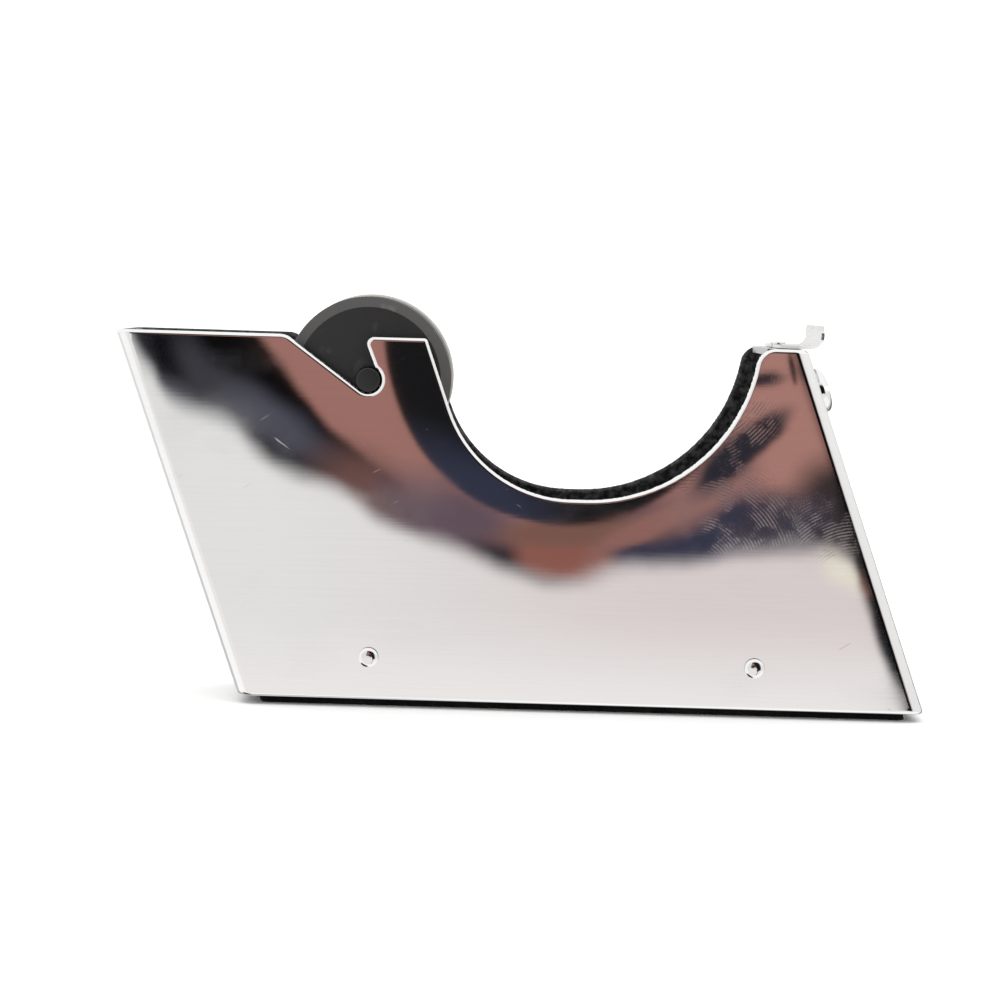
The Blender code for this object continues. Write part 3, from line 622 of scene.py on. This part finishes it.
def build_base_pad():
    """Sheet with rounded corners, its four long edges bulging in a quarter round."""
    angles = [math.pi / 2 * k / 4 for k in range(5)]
    rings = [(PAD_EDGE * (1 - math.cos(a)), PAD_EDGE * (1 - math.sin(a))) for a in angles]
    levels = [(z, PAD_INSET + slip) for z, slip in rings]
    levels += [(PAD_THICKNESS - z, PAD_INSET + slip) for z, slip in reversed(rings)]
    made = bmesh.new()
    loops = []
    for z, inset in levels:
        x = (BASE_LENGTH - 2 * inset / math.cos(SLANT)) / 2
        y = (BODY_WIDTH - 2 * inset) / 2
        corners = [(-x, -y), (x, -y), (x, y), (-x, y)]
        section = rounded([(*c, PAD_CORNER_RADIUS) for c in corners], math.radians(9))
        shift = (front_x(z) + rear_x(z)) / 2
        loops.append([made.verts.new((p.x + shift, p.y, z)) for p in section])
    made.faces.new(list(reversed(loops[0])))
    made.faces.new(loops[-1])
    for low, high in zip(loops, loops[1:]):
        for i in range(len(low)):
            made.faces.new((low[i - 1], low[i], high[i], high[i - 1]))
    return finished_piece("base_pad_sheet", made, math.radians(40))


def finished_piece(name, made, smooth_angle):
    """Object from a bmesh, with soft shading on its rounds."""
    bmesh.ops.recalc_face_normals(made, faces=made.faces)
    mesh = bpy.data.meshes.new(name)
    made.to_mesh(mesh)
    made.free()
    mesh.shade_smooth()
    mesh.set_sharp_from_angle(angle=smooth_angle)
    piece = bpy.data.objects.new(name, mesh)
    bpy.context.scene.collection.objects.link(piece)
    return piece


def rubber_finish():
    """Foamed rubber: open cells at its edge, a little dust."""
    made, tree, shader = blank_finish("black_pad_rubber", (0.006, 0.006, 0.0065), 0.0, 0.8)
    shader.inputs["Specular IOR Level"].default_value = 0.12
    foam = own_noise(tree, 2600, detail=6.0, seed=30.0)
    dusty = between(tree, own_noise(tree, 210, seed=31.0), 0.45, 0.75)
    tinted(tree, shader, dusty, (0.004, 0.004, 0.0045), (0.013, 0.0125, 0.012))
    roughened(tree, shader, foam, 0.3, 0.7, 0.7, 0.95)
    raised(tree, shader, foam, 0.7, 0.00006)
    return made


base_pad_sheet = build_base_pad()
base_pad_sheet.data.materials.append(rubber_finish())
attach(base_pad_sheet, "base")
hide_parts("base_pad")

# ==== Side screws =================================================================================
# Four small dome-headed screws, two to a side, go through the plates into the weight. Turned
# steel, polished and chrome plated, with a fine rim where the dome meets the plate.


def lathe(name, profile, steps, place_at, along, smooth_angle=math.radians(32)):
    """Piece turned about a line from a (radius, height) profile, closed or ending on the line."""
    made = bmesh.new()
    turn = Vector(along).to_track_quat("Z", "Y").to_matrix().to_4x4()
    where = Matrix.Translation(place_at) @ turn
    rings = []
    for radius, height in profile:
        if radius < 1e-9:
            rings.append([made.verts.new(where @ Vector((0, 0, height)))])
            continue
        ring = []
        for k in range(steps):
            angle = math.tau * k / steps
            point = Vector((radius * math.cos(angle), radius * math.sin(angle), height))
            ring.append(made.verts.new(where @ point))
        rings.append(ring)
    on_line = len(rings[0]) == 1 and len(rings[-1]) == 1
    for i in range(len(rings) - (1 if on_line else 0)):
        low, high = rings[i], rings[(i + 1) % len(rings)]
        for k in range(steps):
            after = (k + 1) % steps
            corners = [low[k % len(low)], low[after % len(low)]]
            corners += [high[after % len(high)], high[k % len(high)]]
            made.faces.new(list(dict.fromkeys(corners)))
    return finished_piece(name, made, smooth_angle)


def dome_profile(radius, edge, height, steps=14, fullness=2.6):
    """Domed head from crown to rim, above height 0. A fuller one has a flatter crown."""
    made = []
    for k in range(steps + 1):
        angle = math.pi / 2 * k / steps
        out = math.sin(angle) ** (2 / fullness)
        up = max(0.0, math.cos(angle)) ** (2 / fullness)
        made.append((radius * out, edge + (height - edge) * up))
    return made + [(radius, 0.0)]


def shank_profile(radius, length, groove):
    """Threaded shank as fine turned grooves, down to a small chamfer."""
    pitch = 0.00045
    turns = int((length - 2 * pitch) / pitch)
    made = [(radius, 0.0)]
    for k in range(turns):
        made.append((radius, -pitch * (k + 0.5)))
        made.append((radius - groove, -pitch * (k + 1)))
    made += [(radius, -pitch * (turns + 0.5)), (radius * 0.6, -length), (0.0, -length)]
    return made


side_profile = dome_profile(0.00155, 0.00006, 0.0009, steps=18, fullness=3.0)
side_profile += shank_profile(0.0010, 0.0060, 0.00008)
for end, x in side_screw_places():
    for side, way in (("near", -1), ("far", 1)):
        node = "side_screw_" + side + "_" + end
        seat = (x, way * (BODY_WIDTH / 2 + 0.0001), SIDE_SCREW_Z)
        screw = lathe(node + "_polished", side_profile, 64, seat, (0, way, 0))
        screw.data.materials.append(screw_chrome)
        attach(screw, "base")
        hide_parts(node)

# ==== Axle ========================================================================================
# Moulded black rod that lies in both pockets. A collar in its middle is caught between the two
# halves of the hub, so that axle and hub lift out together.
AXLE_HALF = BODY_WIDTH / 2 - 0.0001
COLLAR_HALF = 0.0030
COLLAR_RADIUS = 0.0032
AXLE_LINE = ((AXLE_X, 0.0, AXLE_Z), (0, 1, 0))


def black_plastic_finish(name, colour, rough_low, rough_high, seed):
    """Moulded plastic: fine spark-eroded grain, lighter scuffs and a little dust."""
    made, tree, shader = blank_finish(name, colour, 0.0, rough_low)
    shader.inputs["IOR"].default_value = 1.5
    grain = own_noise(tree, 3200, detail=4.0, seed=seed)
    scuffs = own_noise(tree, (240, 700, 240), detail=5.0, seed=seed + 1)
    lighter = tuple(min(1.0, c * 1.9 + 0.01) for c in colour)
    tinted(tree, shader, between(tree, scuffs, 0.58, 0.74), colour, lighter)
    roughened(tree, shader, grain, 0.3, 0.7, rough_low, rough_high)
    raised(tree, shader, grain, 0.35, 0.00003)
    return made


axle_black = black_plastic_finish("axle_black_plastic", (0.007, 0.0066, 0.007), 0.30, 0.45, 40.0)
axle_corners = [
    (0.0, AXLE_HALF, 0.0),
    (AXLE_RADIUS, AXLE_HALF, 0.0003),
    (AXLE_RADIUS, COLLAR_HALF, 0.0),
    (COLLAR_RADIUS, COLLAR_HALF, 0.0002),
    (COLLAR_RADIUS, -COLLAR_HALF, 0.0002),
    (AXLE_RADIUS, -COLLAR_HALF, 0.0),
    (AXLE_RADIUS, -AXLE_HALF, 0.0003),
    (0.0, -AXLE_HALF, 0.0),
]
axle_profile = rounded(axle_corners, math.radians(15), closed=False)
hub_axle_rod = lathe("hub_axle_rod", axle_profile, 72, *AXLE_LINE)
hub_axle_rod.data.materials.append(axle_black)
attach(hub_axle_rod, "axle")
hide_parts("hub_axle")

# ==== Hub =========================================================================================
# Two moulded black halves. The near one is a cup with the drum that the tape core slides on, with
# a broad lead-in on its edge; the far one is its cap, with a spigot and a low stop rim. The cap's
# rim is coloured pale as a painted highlight, for the sheen it shows at a grazing angle.
HUB_RADIUS = 0.0127
HUB_HALF = BODY_WIDTH / 2 - SHEET - 0.0010
HUB_SPLIT = HUB_HALF - 0.0027
HUB_WALL = 0.0015
HUB_LEAD_IN = 0.0016
HUB_FLOOR = HUB_HALF - 0.0018
BORE = AXLE_RADIUS + 0.0001
TUBE = BORE + 0.0014
TUBE_END = 0.0033
hub_black = black_plastic_finish("hub_black_plastic", (0.0095, 0.0085, 0.009), 0.38, 0.52, 50.0)
# The near cup's lead-in ring is coloured a lighter grey than the rest of the hub.
hub_lead_in_finish = black_plastic_finish("hub_lighter_lead_in", (0.046, 0.044, 0.043), 0.30, 0.45, 52.0)
# Pale colour on the far cap's rim: a painted highlight standing in for its grazing sheen.
rim_painted_highlight = black_plastic_finish("hub_rim_painted_highlight", (0.62, 0.59, 0.56), 0.35, 0.50, 54.0)
cup_corners = [
    (BORE, -HUB_HALF, 0.0),
    (HUB_RADIUS - HUB_LEAD_IN, -HUB_HALF, 0.0002),
    (HUB_RADIUS, -HUB_HALF + 0.0009, 0.0003),
    (HUB_RADIUS, HUB_SPLIT - 0.0003, 0.0001),
    (HUB_RADIUS - HUB_WALL, HUB_SPLIT - 0.0003, 0.0001),
    (HUB_RADIUS - HUB_WALL, -HUB_FLOOR, 0.0004),
    (TUBE, -HUB_FLOOR, 0.0004),
    (TUBE, -TUBE_END, 0.0001),
    (BORE, -TUBE_END, 0.0001),
]
rim = HUB_RADIUS + 0.00035
spigot = HUB_RADIUS - HUB_WALL - 0.0003
spigot_end = HUB_SPLIT - 0.0043
cap_corners = [
    (BORE, HUB_HALF, 0.0),
    (rim, HUB_HALF, 0.0006),
    (rim, HUB_SPLIT, 0.0001),
    (spigot, HUB_SPLIT, 0.0),
    (spigot, spigot_end, 0.0002),
    (spigot - 0.0012, spigot_end, 0.0002),
    (spigot - 0.0012, HUB_FLOOR, 0.0004),
    (TUBE, HUB_FLOOR, 0.0004),
    (TUBE, TUBE_END, 0.0001),
    (BORE, TUBE_END, 0.0001),
]
hub_near_cup = lathe("hub_near_cup", rounded(cup_corners, math.radians(15)), 128, *AXLE_LINE)
hub_far_cap = lathe("hub_far_cap", rounded(cap_corners, math.radians(15)), 128, *AXLE_LINE)
for piece, node, edge_finish in (
    (hub_near_cup, "hub_near_half", hub_lead_in_finish),
    (hub_far_cap, "hub_far_half", rim_painted_highlight),
):
    piece.data.materials.append(hub_black)
    piece.data.materials.append(edge_finish)
    for face in piece.data.polygons:
        y = face.center.y
        out = math.hypot(face.center.x - AXLE_X, face.center.z - AXLE_Z)
        if piece == hub_near_cup:
            at_edge = y < 0.0013 - HUB_HALF and out > HUB_RADIUS - HUB_LEAD_IN
        else:
            at_edge = y > HUB_SPLIT - 0.0001 and out > HUB_RADIUS - 0.0012
        face.material_index = int(at_edge)
    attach(piece, "hub")
    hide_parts(node)

# ==== Landing bracket and nut =====================================================================
# A bent zinc-plated shelf behind the front wall carries the cutter. The front screw goes through
# its leg into a hexagon nut.
dress("landing_bracket", zinc_plating)
dress("front_nut", zinc_plating)

# ==== Cutter blade ================================================================================
# Spring-steel strip of half a millimetre: its tail lies on the front tower, a bend carries it past
# the front wall, and its upright end is ground into saw teeth that the tape is torn on.
BLADE_THICK = 0.00046
BLADE_HALF_WIDTH = BODY_WIDTH / 2 - SHEET - 0.0015
BLADE_UNDER = TOP_Z + 0.0001
BLADE_OUTER_X = front_x(TOP_Z) + 0.0026
BLADE_TIP_Z = TOP_Z + 0.0037
BLADE_TAIL_X = front_x(TOP_Z) - 0.0043
BLADE_BEND = 0.0020
BLADE_HOLE_RADIUS = 0.0009
BLADE_SCREW_X = front_x(TOP_Z) - 0.0035
TEETH = 14
TOOTH_HEIGHT = 0.0008


def cut_away(piece, cutter):
    """Takes the cutter's shape out of the piece and removes the cutter."""
    boolean = piece.modifiers.new("cut", "BOOLEAN")
    boolean.operation = "DIFFERENCE"
    boolean.solver = "EXACT"
    boolean.object = cutter
    cut = piece.evaluated_get(bpy.context.evaluated_depsgraph_get())
    settled = bpy.data.meshes.new_from_object(cut)
    piece.modifiers.clear()
    settled.name = piece.name
    piece.data = settled
    bpy.data.objects.remove(cutter, do_unlink=True)


def build_blade():
    """Bent strip with a toothed end, as an outer and an inner skin joined at their borders."""
    made = bmesh.new()
    columns = 2 * TEETH + 1
    across = [BLADE_HALF_WIDTH * (2 * k / (columns - 1) - 1) for k in range(columns)]
    skins = []
    for deep in (0.0, BLADE_THICK):
        corners = [
            (BLADE_TAIL_X, BLADE_UNDER + deep, 0.0),
            (BLADE_OUTER_X - deep, BLADE_UNDER + deep, BLADE_BEND - deep),
            (BLADE_OUTER_X - deep, BLADE_TIP_Z, 0.0),
        ]
        line = rounded(corners, math.radians(6), closed=False)
        rows = []
        for i, point in enumerate(line):
            row = []
            for k, y in enumerate(across):
                valley = TOOTH_HEIGHT if i == len(line) - 1 and k % 2 == 0 else 0.0
                row.append(made.verts.new((point.x, y, point.y - valley)))
            rows.append(row)
        root_z = BLADE_TIP_Z - TOOTH_HEIGHT - 0.0003
        root = [made.verts.new((line[-1].x, y, root_z)) for y in across]
        rows.insert(len(rows) - 1, root)
        skins.append(rows)
    for rows, flip in ((skins[0], False), (skins[1], True)):
        for low, high in zip(rows, rows[1:]):
            for k in range(columns - 1):
                face = [low[k], low[k + 1], high[k + 1], high[k]]
                made.faces.new(list(reversed(face)) if flip else face)
    outer, inner = skins
    for i in (0, -1):
        for k in range(columns - 1):
            made.faces.new((outer[i][k], outer[i][k + 1], inner[i][k + 1], inner[i][k]))
    for k in (0, -1):
        for i in range(len(outer) - 1):
            made.faces.new((outer[i][k], outer[i + 1][k], inner[i + 1][k], inner[i][k]))
    return finished_piece("cutter_blade_strip", made, math.radians(28))


def blade_finish():
    """Ground spring steel: fine lines across the strip, a little oil haze."""
    made, tree, shader = blank_finish("ground_blade_steel", (0.72, 0.71, 0.70), 1.0, 0.2)
    lines = own_noise(tree, (4200, 120, 4200), detail=5.0, seed=60.0)
    haze = own_noise(tree, (500, 200, 500), detail=3.0, seed=61.0)
    tinted(tree, shader, haze, (0.66, 0.64, 0.62), (0.80, 0.80, 0.80))
    roughened(tree, shader, lines, 0.3, 0.7, 0.12, 0.30)
    raised(tree, shader, lines, 0.4, 0.000004)
    return made


def sheared_edge_finish():
    """Side edges as the shears left them: pale, frosted and a little torn."""
    made, tree, shader = blank_finish("sheared_blade_edge", (0.72, 0.70, 0.69), 0.25, 0.55)
    torn = own_noise(tree, 2500, seed=62.0)
    tinted(tree, shader, torn, (0.60, 0.58, 0.57), (0.84, 0.83, 0.82))
    roughened(tree, shader, torn, 0.3, 0.7, 0.45, 0.65)
    raised(tree, shader, torn, 0.3, 0.00002)
    return made


blade_strip = build_blade()
drill = [(0.0, -0.002), (BLADE_HOLE_RADIUS, -0.002), (BLADE_HOLE_RADIUS, 0.003), (0.0, 0.003)]
cut_away(blade_strip, lathe("hole", drill, 48, (BLADE_SCREW_X, 0, TOP_Z), (0, 0, 1)))
blade_strip.data.set_sharp_from_angle(angle=math.radians(28))
blade_strip.data.materials.clear()
blade_strip.data.materials.append(blade_finish())
blade_strip.data.materials.append(sheared_edge_finish())
for face in blade_strip.data.polygons:
    at_side = abs(face.center.y) > BLADE_HALF_WIDTH - 0.0001
    upright = BLADE_TIP_Z - 0.0022 < face.center.z < BLADE_TIP_Z - 0.0012
    face.material_index = int(at_side and not upright)
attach(blade_strip, "base")
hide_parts("cutter_blade")

# ==== Blade screw and front screw =================================================================
# A low dome-headed screw holds the blade's tail on the bracket. A larger slotted one, with a high
# polished dome, goes through the front wall and the bracket's leg.
tail_profile = dome_profile(0.0013, 0.00008, 0.00045) + shank_profile(0.0007, 0.0026, 0.00006)
tail_seat = (BLADE_SCREW_X, 0.0, TOP_Z + 0.0002 + BLADE_THICK)
blade_screw = lathe("blade_screw_polished", tail_profile, 64, tail_seat, (0, 0, 1))

FRONT_NORMAL = Vector((math.cos(SLANT), 0.0, math.sin(SLANT)))
wall_point = Vector((front_x(FRONT_SCREW_Z), 0.0, FRONT_SCREW_Z))
front_seat = wall_point + FRONT_NORMAL * 0.0001
front_profile = dome_profile(0.0036, 0.0010, 0.0024) + shank_profile(0.00175, 0.0068, 0.00012)
front_screw = lathe("front_screw_polished", front_profile, 96, front_seat, FRONT_NORMAL)


def driver_slot(width, depth, length, top_at, along):
    """Block that cuts the screwdriver's slot into a head."""
    made = bmesh.new()
    bmesh.ops.create_cube(made, size=1.0)
    turn = Vector(along).to_track_quat("Z", "Y").to_matrix().to_4x4()
    where = Matrix.Translation(top_at) @ turn @ Matrix.Diagonal((length, width, 2 * depth, 1.0))
    bmesh.ops.transform(made, matrix=where, verts=made.verts)
    return finished_piece("driver_slot", made, math.radians(30))


slot_top = wall_point + FRONT_NORMAL * 0.0025
cut_away(front_screw, driver_slot(0.0009, 0.0010, 0.0150, slot_top, FRONT_NORMAL))
front_screw.data.set_sharp_from_angle(angle=math.radians(32))
front_screw.data.materials.clear()
for piece, node in ((blade_screw, "blade_screw"), (front_screw, "front_screw")):
    piece.data.materials.append(screw_chrome)
    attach(piece, "base")
    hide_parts(node)

# ==== Table, room and light =======================================================================
# A white paper sweep under soft light from all round. In front of the near plate the room is dark
# with some warm brown in it, which is what the chrome shows.
CAMERA_AT = Vector((-0.01032, -0.45849, 0.06385))
CAMERA_PAN = math.radians(0.878)
CAMERA_TILT = math.radians(-4.02)
CAMERA_ROLL = math.radians(1.78)
PLATE_Y = -BODY_WIDTH / 2

floor_mesh = bmesh.new()
corners = [floor_mesh.verts.new(p) for p in ((-3, -3, 0), (3, -3, 0), (3, 6, 0), (-3, 6, 0))]
floor_mesh.faces.new(corners)
bmesh.ops.subdivide_edges(floor_mesh, edges=floor_mesh.edges, cuts=12, use_grid_fill=True)
paper_floor = finished_piece("paper_floor", floor_mesh, math.radians(30))
paper, tree, shader = blank_finish("white_paper", (0.93, 0.93, 0.925), 0.0, 0.9)
tooth = own_noise(tree, 900, detail=5.0, seed=70.0)
tinted(tree, shader, tooth, (0.915, 0.915, 0.91), (0.945, 0.945, 0.94))
raised(tree, shader, tooth, 0.1, 0.0001)
paper_floor.data.materials.append(paper)
paper_floor.visible_glossy = False


room = bpy.data.worlds.new("soft_room")
bpy.context.scene.world = room
room.use_nodes = True
tree = room.node_tree
tree.nodes.clear()


def straight(tree, value, low, high):
    """Value brought evenly from its range to 0 and 1."""
    inputs = {"Value": value, "From Min": low, "From Max": high}
    return place(tree, "MapRange", inputs).outputs["Result"]


# The room is laid out as it falls on the near plate for someone in front of it, in millimetres of
# X and Z there. Thin wisps of noise keep its borders soft and uneven.
direction = place(tree, "TexCoord").outputs["Generated"]
parts = place(tree, "SeparateXYZ", {0: direction})
ahead = figure(tree, "MULTIPLY", parts.outputs["Y"], -1.0)
depth_ahead = figure(tree, "MAXIMUM", ahead, 0.02)
reach = (PLATE_Y - CAMERA_AT.y) * 1000
sideways = figure(tree, "DIVIDE", parts.outputs["X"], depth_ahead)
upward = figure(tree, "DIVIDE", parts.outputs["Z"], depth_ahead)
plate_x = weighed(tree, CAMERA_AT.x * 1000, (sideways, reach))
plate_z = weighed(tree, CAMERA_AT.z * 1000, (upward, reach))
spot = place(tree, "CombineXYZ", {0: plate_x, 1: plate_z, 2: 0.0}).outputs[0]
inputs = {"Vector": spot, "Scale": 0.07, "Detail": 3.0, "Roughness": 0.5}
wisps = place(tree, "TexNoise", inputs)
inputs = {0: wisps.outputs["Color"], 1: (3.4, 3.4, 0.0), 2: (-1.7, -1.7, 0.0)}
drift = place(tree, "VectorMath", inputs, operation="MULTIPLY_ADD").outputs[0]
drifting = vector_figure(tree, "ADD", spot, drift)[0]
drifting_parts = place(tree, "SeparateXYZ", {0: drifting})


def patch(where, x, z, wide, tall, tilt, soft):
    """Soft-edged oval in the room: 1 inside, 0 outside."""
    angles = (0.0, 0.0, math.radians(tilt))
    return soft_oval(tree, where, (x, z, 0.0), angles, (wide, tall, 1.0), soft)


# Pale table in front of the plate, cooler on the left and lightest near the foot.
to_right = between(tree, plate_x, -45, 30)
pale = blended(tree, to_right, (0.76, 0.755, 0.75), (0.685, 0.615, 0.61))
pale = blended(tree, between(tree, plate_z, 0, 18), (0.83, 0.81, 0.80), pale)
grease = patch(drifting, 49.5, 22.8, 4.2, 2.0, -38, 0.6)
pale = blended(tree, grease, pale, (0.75, 0.715, 0.61))

# Dark part of the room, from black through navy and grey to warm brown.
wisp = between(tree, wisps.outputs["Fac"], 0.50, 0.66)
dark = blended(tree, wisp, (0.003, 0.003, 0.0035), (0.018, 0.018, 0.024))
dark_patches = [
    (35.8, 112.5, 95.0, 95.0, 0, 0.010, (0.330, 0.160, 0.136)),
    (-39.0, 44.0, 10.0, 3.0, -30, 0.70, (0.072, 0.072, 0.095)),
    (-52.5, 47.0, 5.5, 2.0, -22, 0.80, (0.070, 0.070, 0.084)),
    (-50.0, 50.5, 2.2, 6.5, 28, 0.80, (0.042, 0.042, 0.052)),
    (-24.0, 33.5, 8.0, 5.0, -38, 0.70, (0.140, 0.070, 0.062)),
    (-9.0, 27.5, 13.0, 6.0, -28, 0.55, (0.120, 0.080, 0.100)),
    (29.0, 26.0, 18.0, 8.5, 6, 0.30, (0.034, 0.036, 0.064)),
    (48.0, 29.0, 9.0, 7.0, 10, 0.50, (0.030, 0.028, 0.038)),
    (1.0, 22.5, 9.0, 2.6, -14, 0.60, (0.020, 0.017, 0.022)),
    (6.3, 24.3, 7.0, 3.7, -6, 0.30, (0.250, 0.098, 0.078)),
    (10.5, 28.4, 14.0, 2.3, 6, 0.35, (0.190, 0.094, 0.074)),
    (19.5, 29.6, 9.5, 1.7, 27, 0.40, (0.265, 0.125, 0.108)),
    (31.0, 38.0, 12.0, 3.6, 42, 0.50, (0.270, 0.140, 0.128)),
    (41.0, 45.0, 7.2, 17.0, 19.5, 0.30, (0.380, 0.190, 0.162)),
    (49.5, 31.0, 6.5, 9.5, 28, 0.40, (0.040, 0.029, 0.030)),
    (39.5, 29.5, 7.5, 5.0, 12, 0.50, (0.042, 0.036, 0.052)),
    (33.2, 41.2, 2.5, 9.2, -47, 0.30, (0.022, 0.022, 0.031)),
    (37.0, 44.6, 1.8, 1.6, 0, 0.50, (0.024, 0.020, 0.027)),
    (35.8, 52.8, 3.0, 1.1, 8, 0.55, (0.026, 0.020, 0.024)),
    (40.3, 54.6, 0.45, 2.6, 17, 0.30, (0.014, 0.010, 0.010)),
    (42.4, 54.5, 1.0, 2.4, 17, 0.60, (0.130, 0.080, 0.066)),
    (60.0, 24.0, 7.6, 27.0, 19.5, 0.25, (0.004, 0.004, 0.005)),
]
for x, z, wide, tall, tilt, soft, colour in dark_patches:
    dark = blended(tree, patch(drifting, x, z, wide, tall, tilt, soft), dark, colour)
slanted = weighed(tree, plate_x, (plate_z, math.tan(SLANT)))
dark = blended(tree, between(tree, slanted, 60.0, 62.5), dark, (0.004, 0.004, 0.005))
navy = patch(drifting, -7, 33.5, 13, 5.5, -30, 0.7)
disc = blended(tree, navy, (0.009, 0.009, 0.010), (0.030, 0.034, 0.058))
dark = blended(tree, patch(spot, 6.0, 58.0, 28.0, 29.0, 0, 0.012), dark, disc)

# Height of the border between them, over X. Below it lies the table.
across = straight(tree, drifting_parts.outputs[0], -90, 110)
border = place(tree, "FloatCurve", {"Value": across})
border_points = [
    (-70, 100), (-62.5, 62), (-60.3, 56.1), (-56.5, 50.4), (-54, 46.2), (-49.2, 44.2),
    (-45.6, 42.9), (-41.7, 39.6), (-37.4, 36.9), (-29.7, 34.0), (-21.6, 28.7), (-9.9, 24.6),
    (-5.3, 22.7), (0.5, 21.2), (5.5, 20.0), (9.3, 20.6), (13, 22.3), (20.6, 23.2), (28.3, 24.0),
    (43, 25.6), (49.5, 25.2), (52.6, 19), (55, 12.4), (57.6, 6.4), (60, 1), (66, -25), (110, -35),
]
curve = border.mapping.curves[0]
curve.points[0].location = (0.0, 1.0)
curve.points[1].location = (1.0, 0.0)
for x, z in border_points:
    curve.points.new((x + 90) / 200, (z + 40) / 140)
border.mapping.update()
upward = straight(tree, drifting_parts.outputs[1], -40, 100)
shade = between(tree, figure(tree, "SUBTRACT", upward, border.outputs[0]), -0.014, 0.019)
for limit in (
    between(tree, plate_x, -70, -64),
    between(tree, plate_x, 200, 320, 1.0, 0.0),
    between(tree, plate_z, 260, 380, 1.0, 0.0),
):
    shade = figure(tree, "MULTIPLY", shade, limit)
front = blended(tree, shade, pale, dark)

# Beside the dispenser the room is pale, and brighter overhead and below. The far side has a grey
# table and a dark doorway. Low on the left lies a shadow, which shows in the rounded screw heads.
to_right = between(tree, parts.outputs["X"], -0.3, 0.2)
beside = blended(tree, to_right, (0.93, 0.93, 0.92), (0.80, 0.80, 0.795))
off_level = between(tree, figure(tree, "ABSOLUTE", parts.outputs["Z"], 0.0), 0.12, 0.5)
beside = blended(tree, off_level, beside, (0.97, 0.97, 0.97))
far_low = between(tree, parts.outputs["Z"], -0.12, -0.50, 0.0, 0.85)
far_low = figure(tree, "MULTIPLY", far_low, between(tree, ahead, -0.05, -0.5))
beside = blended(tree, far_low, beside, (0.26, 0.26, 0.27))
for way, near, far, share, colour in (
    ((0.55, 0.80, -0.25), 0.22, 0.42, 0.9, (0.05, 0.05, 0.055)),
    ((-0.42, -0.22, -0.88), 0.30, 0.50, 1.0, (0.02, 0.015, 0.014)),
):
    off = vector_figure(tree, "DISTANCE", direction, way)["Value"]
    shadow = between(tree, off, near, far, share, 0.0)
    beside = blended(tree, shadow, beside, colour)
round_about = blended(tree, between(tree, ahead, 0.72, 0.82), beside, front)

rays = place(tree, "LightPath")
shown = blended(tree, rays.outputs["Is Glossy Ray"], (1.40, 1.40, 1.40), round_about)
light = place(tree, "Background", {"Color": shown, "Strength": 1.08})
place(tree, "OutputWorld", {"Surface": light.outputs[0]})

camera_data = bpy.data.cameras.new("camera")
camera = bpy.data.objects.new("camera", camera_data)
bpy.context.scene.collection.objects.link(camera)
camera_data.lens = 105.05
camera_data.sensor_width = 36.0
camera_data.clip_start = 0.01
camera.location = CAMERA_AT
level_part = math.cos(CAMERA_TILT)
camera_way = Vector((math.sin(CAMERA_PAN) * level_part, math.cos(CAMERA_PAN) * level_part, 0.0))
camera_way.z = math.sin(CAMERA_TILT)
level_look = camera_way.to_track_quat("-Z", "Y").to_matrix()
camera.rotation_euler = (level_look @ Matrix.Rotation(CAMERA_ROLL, 3, "Z")).to_euler()
bpy.context.scene.camera = camera
bpy.context.scene.view_settings.view_transform = "Standard"
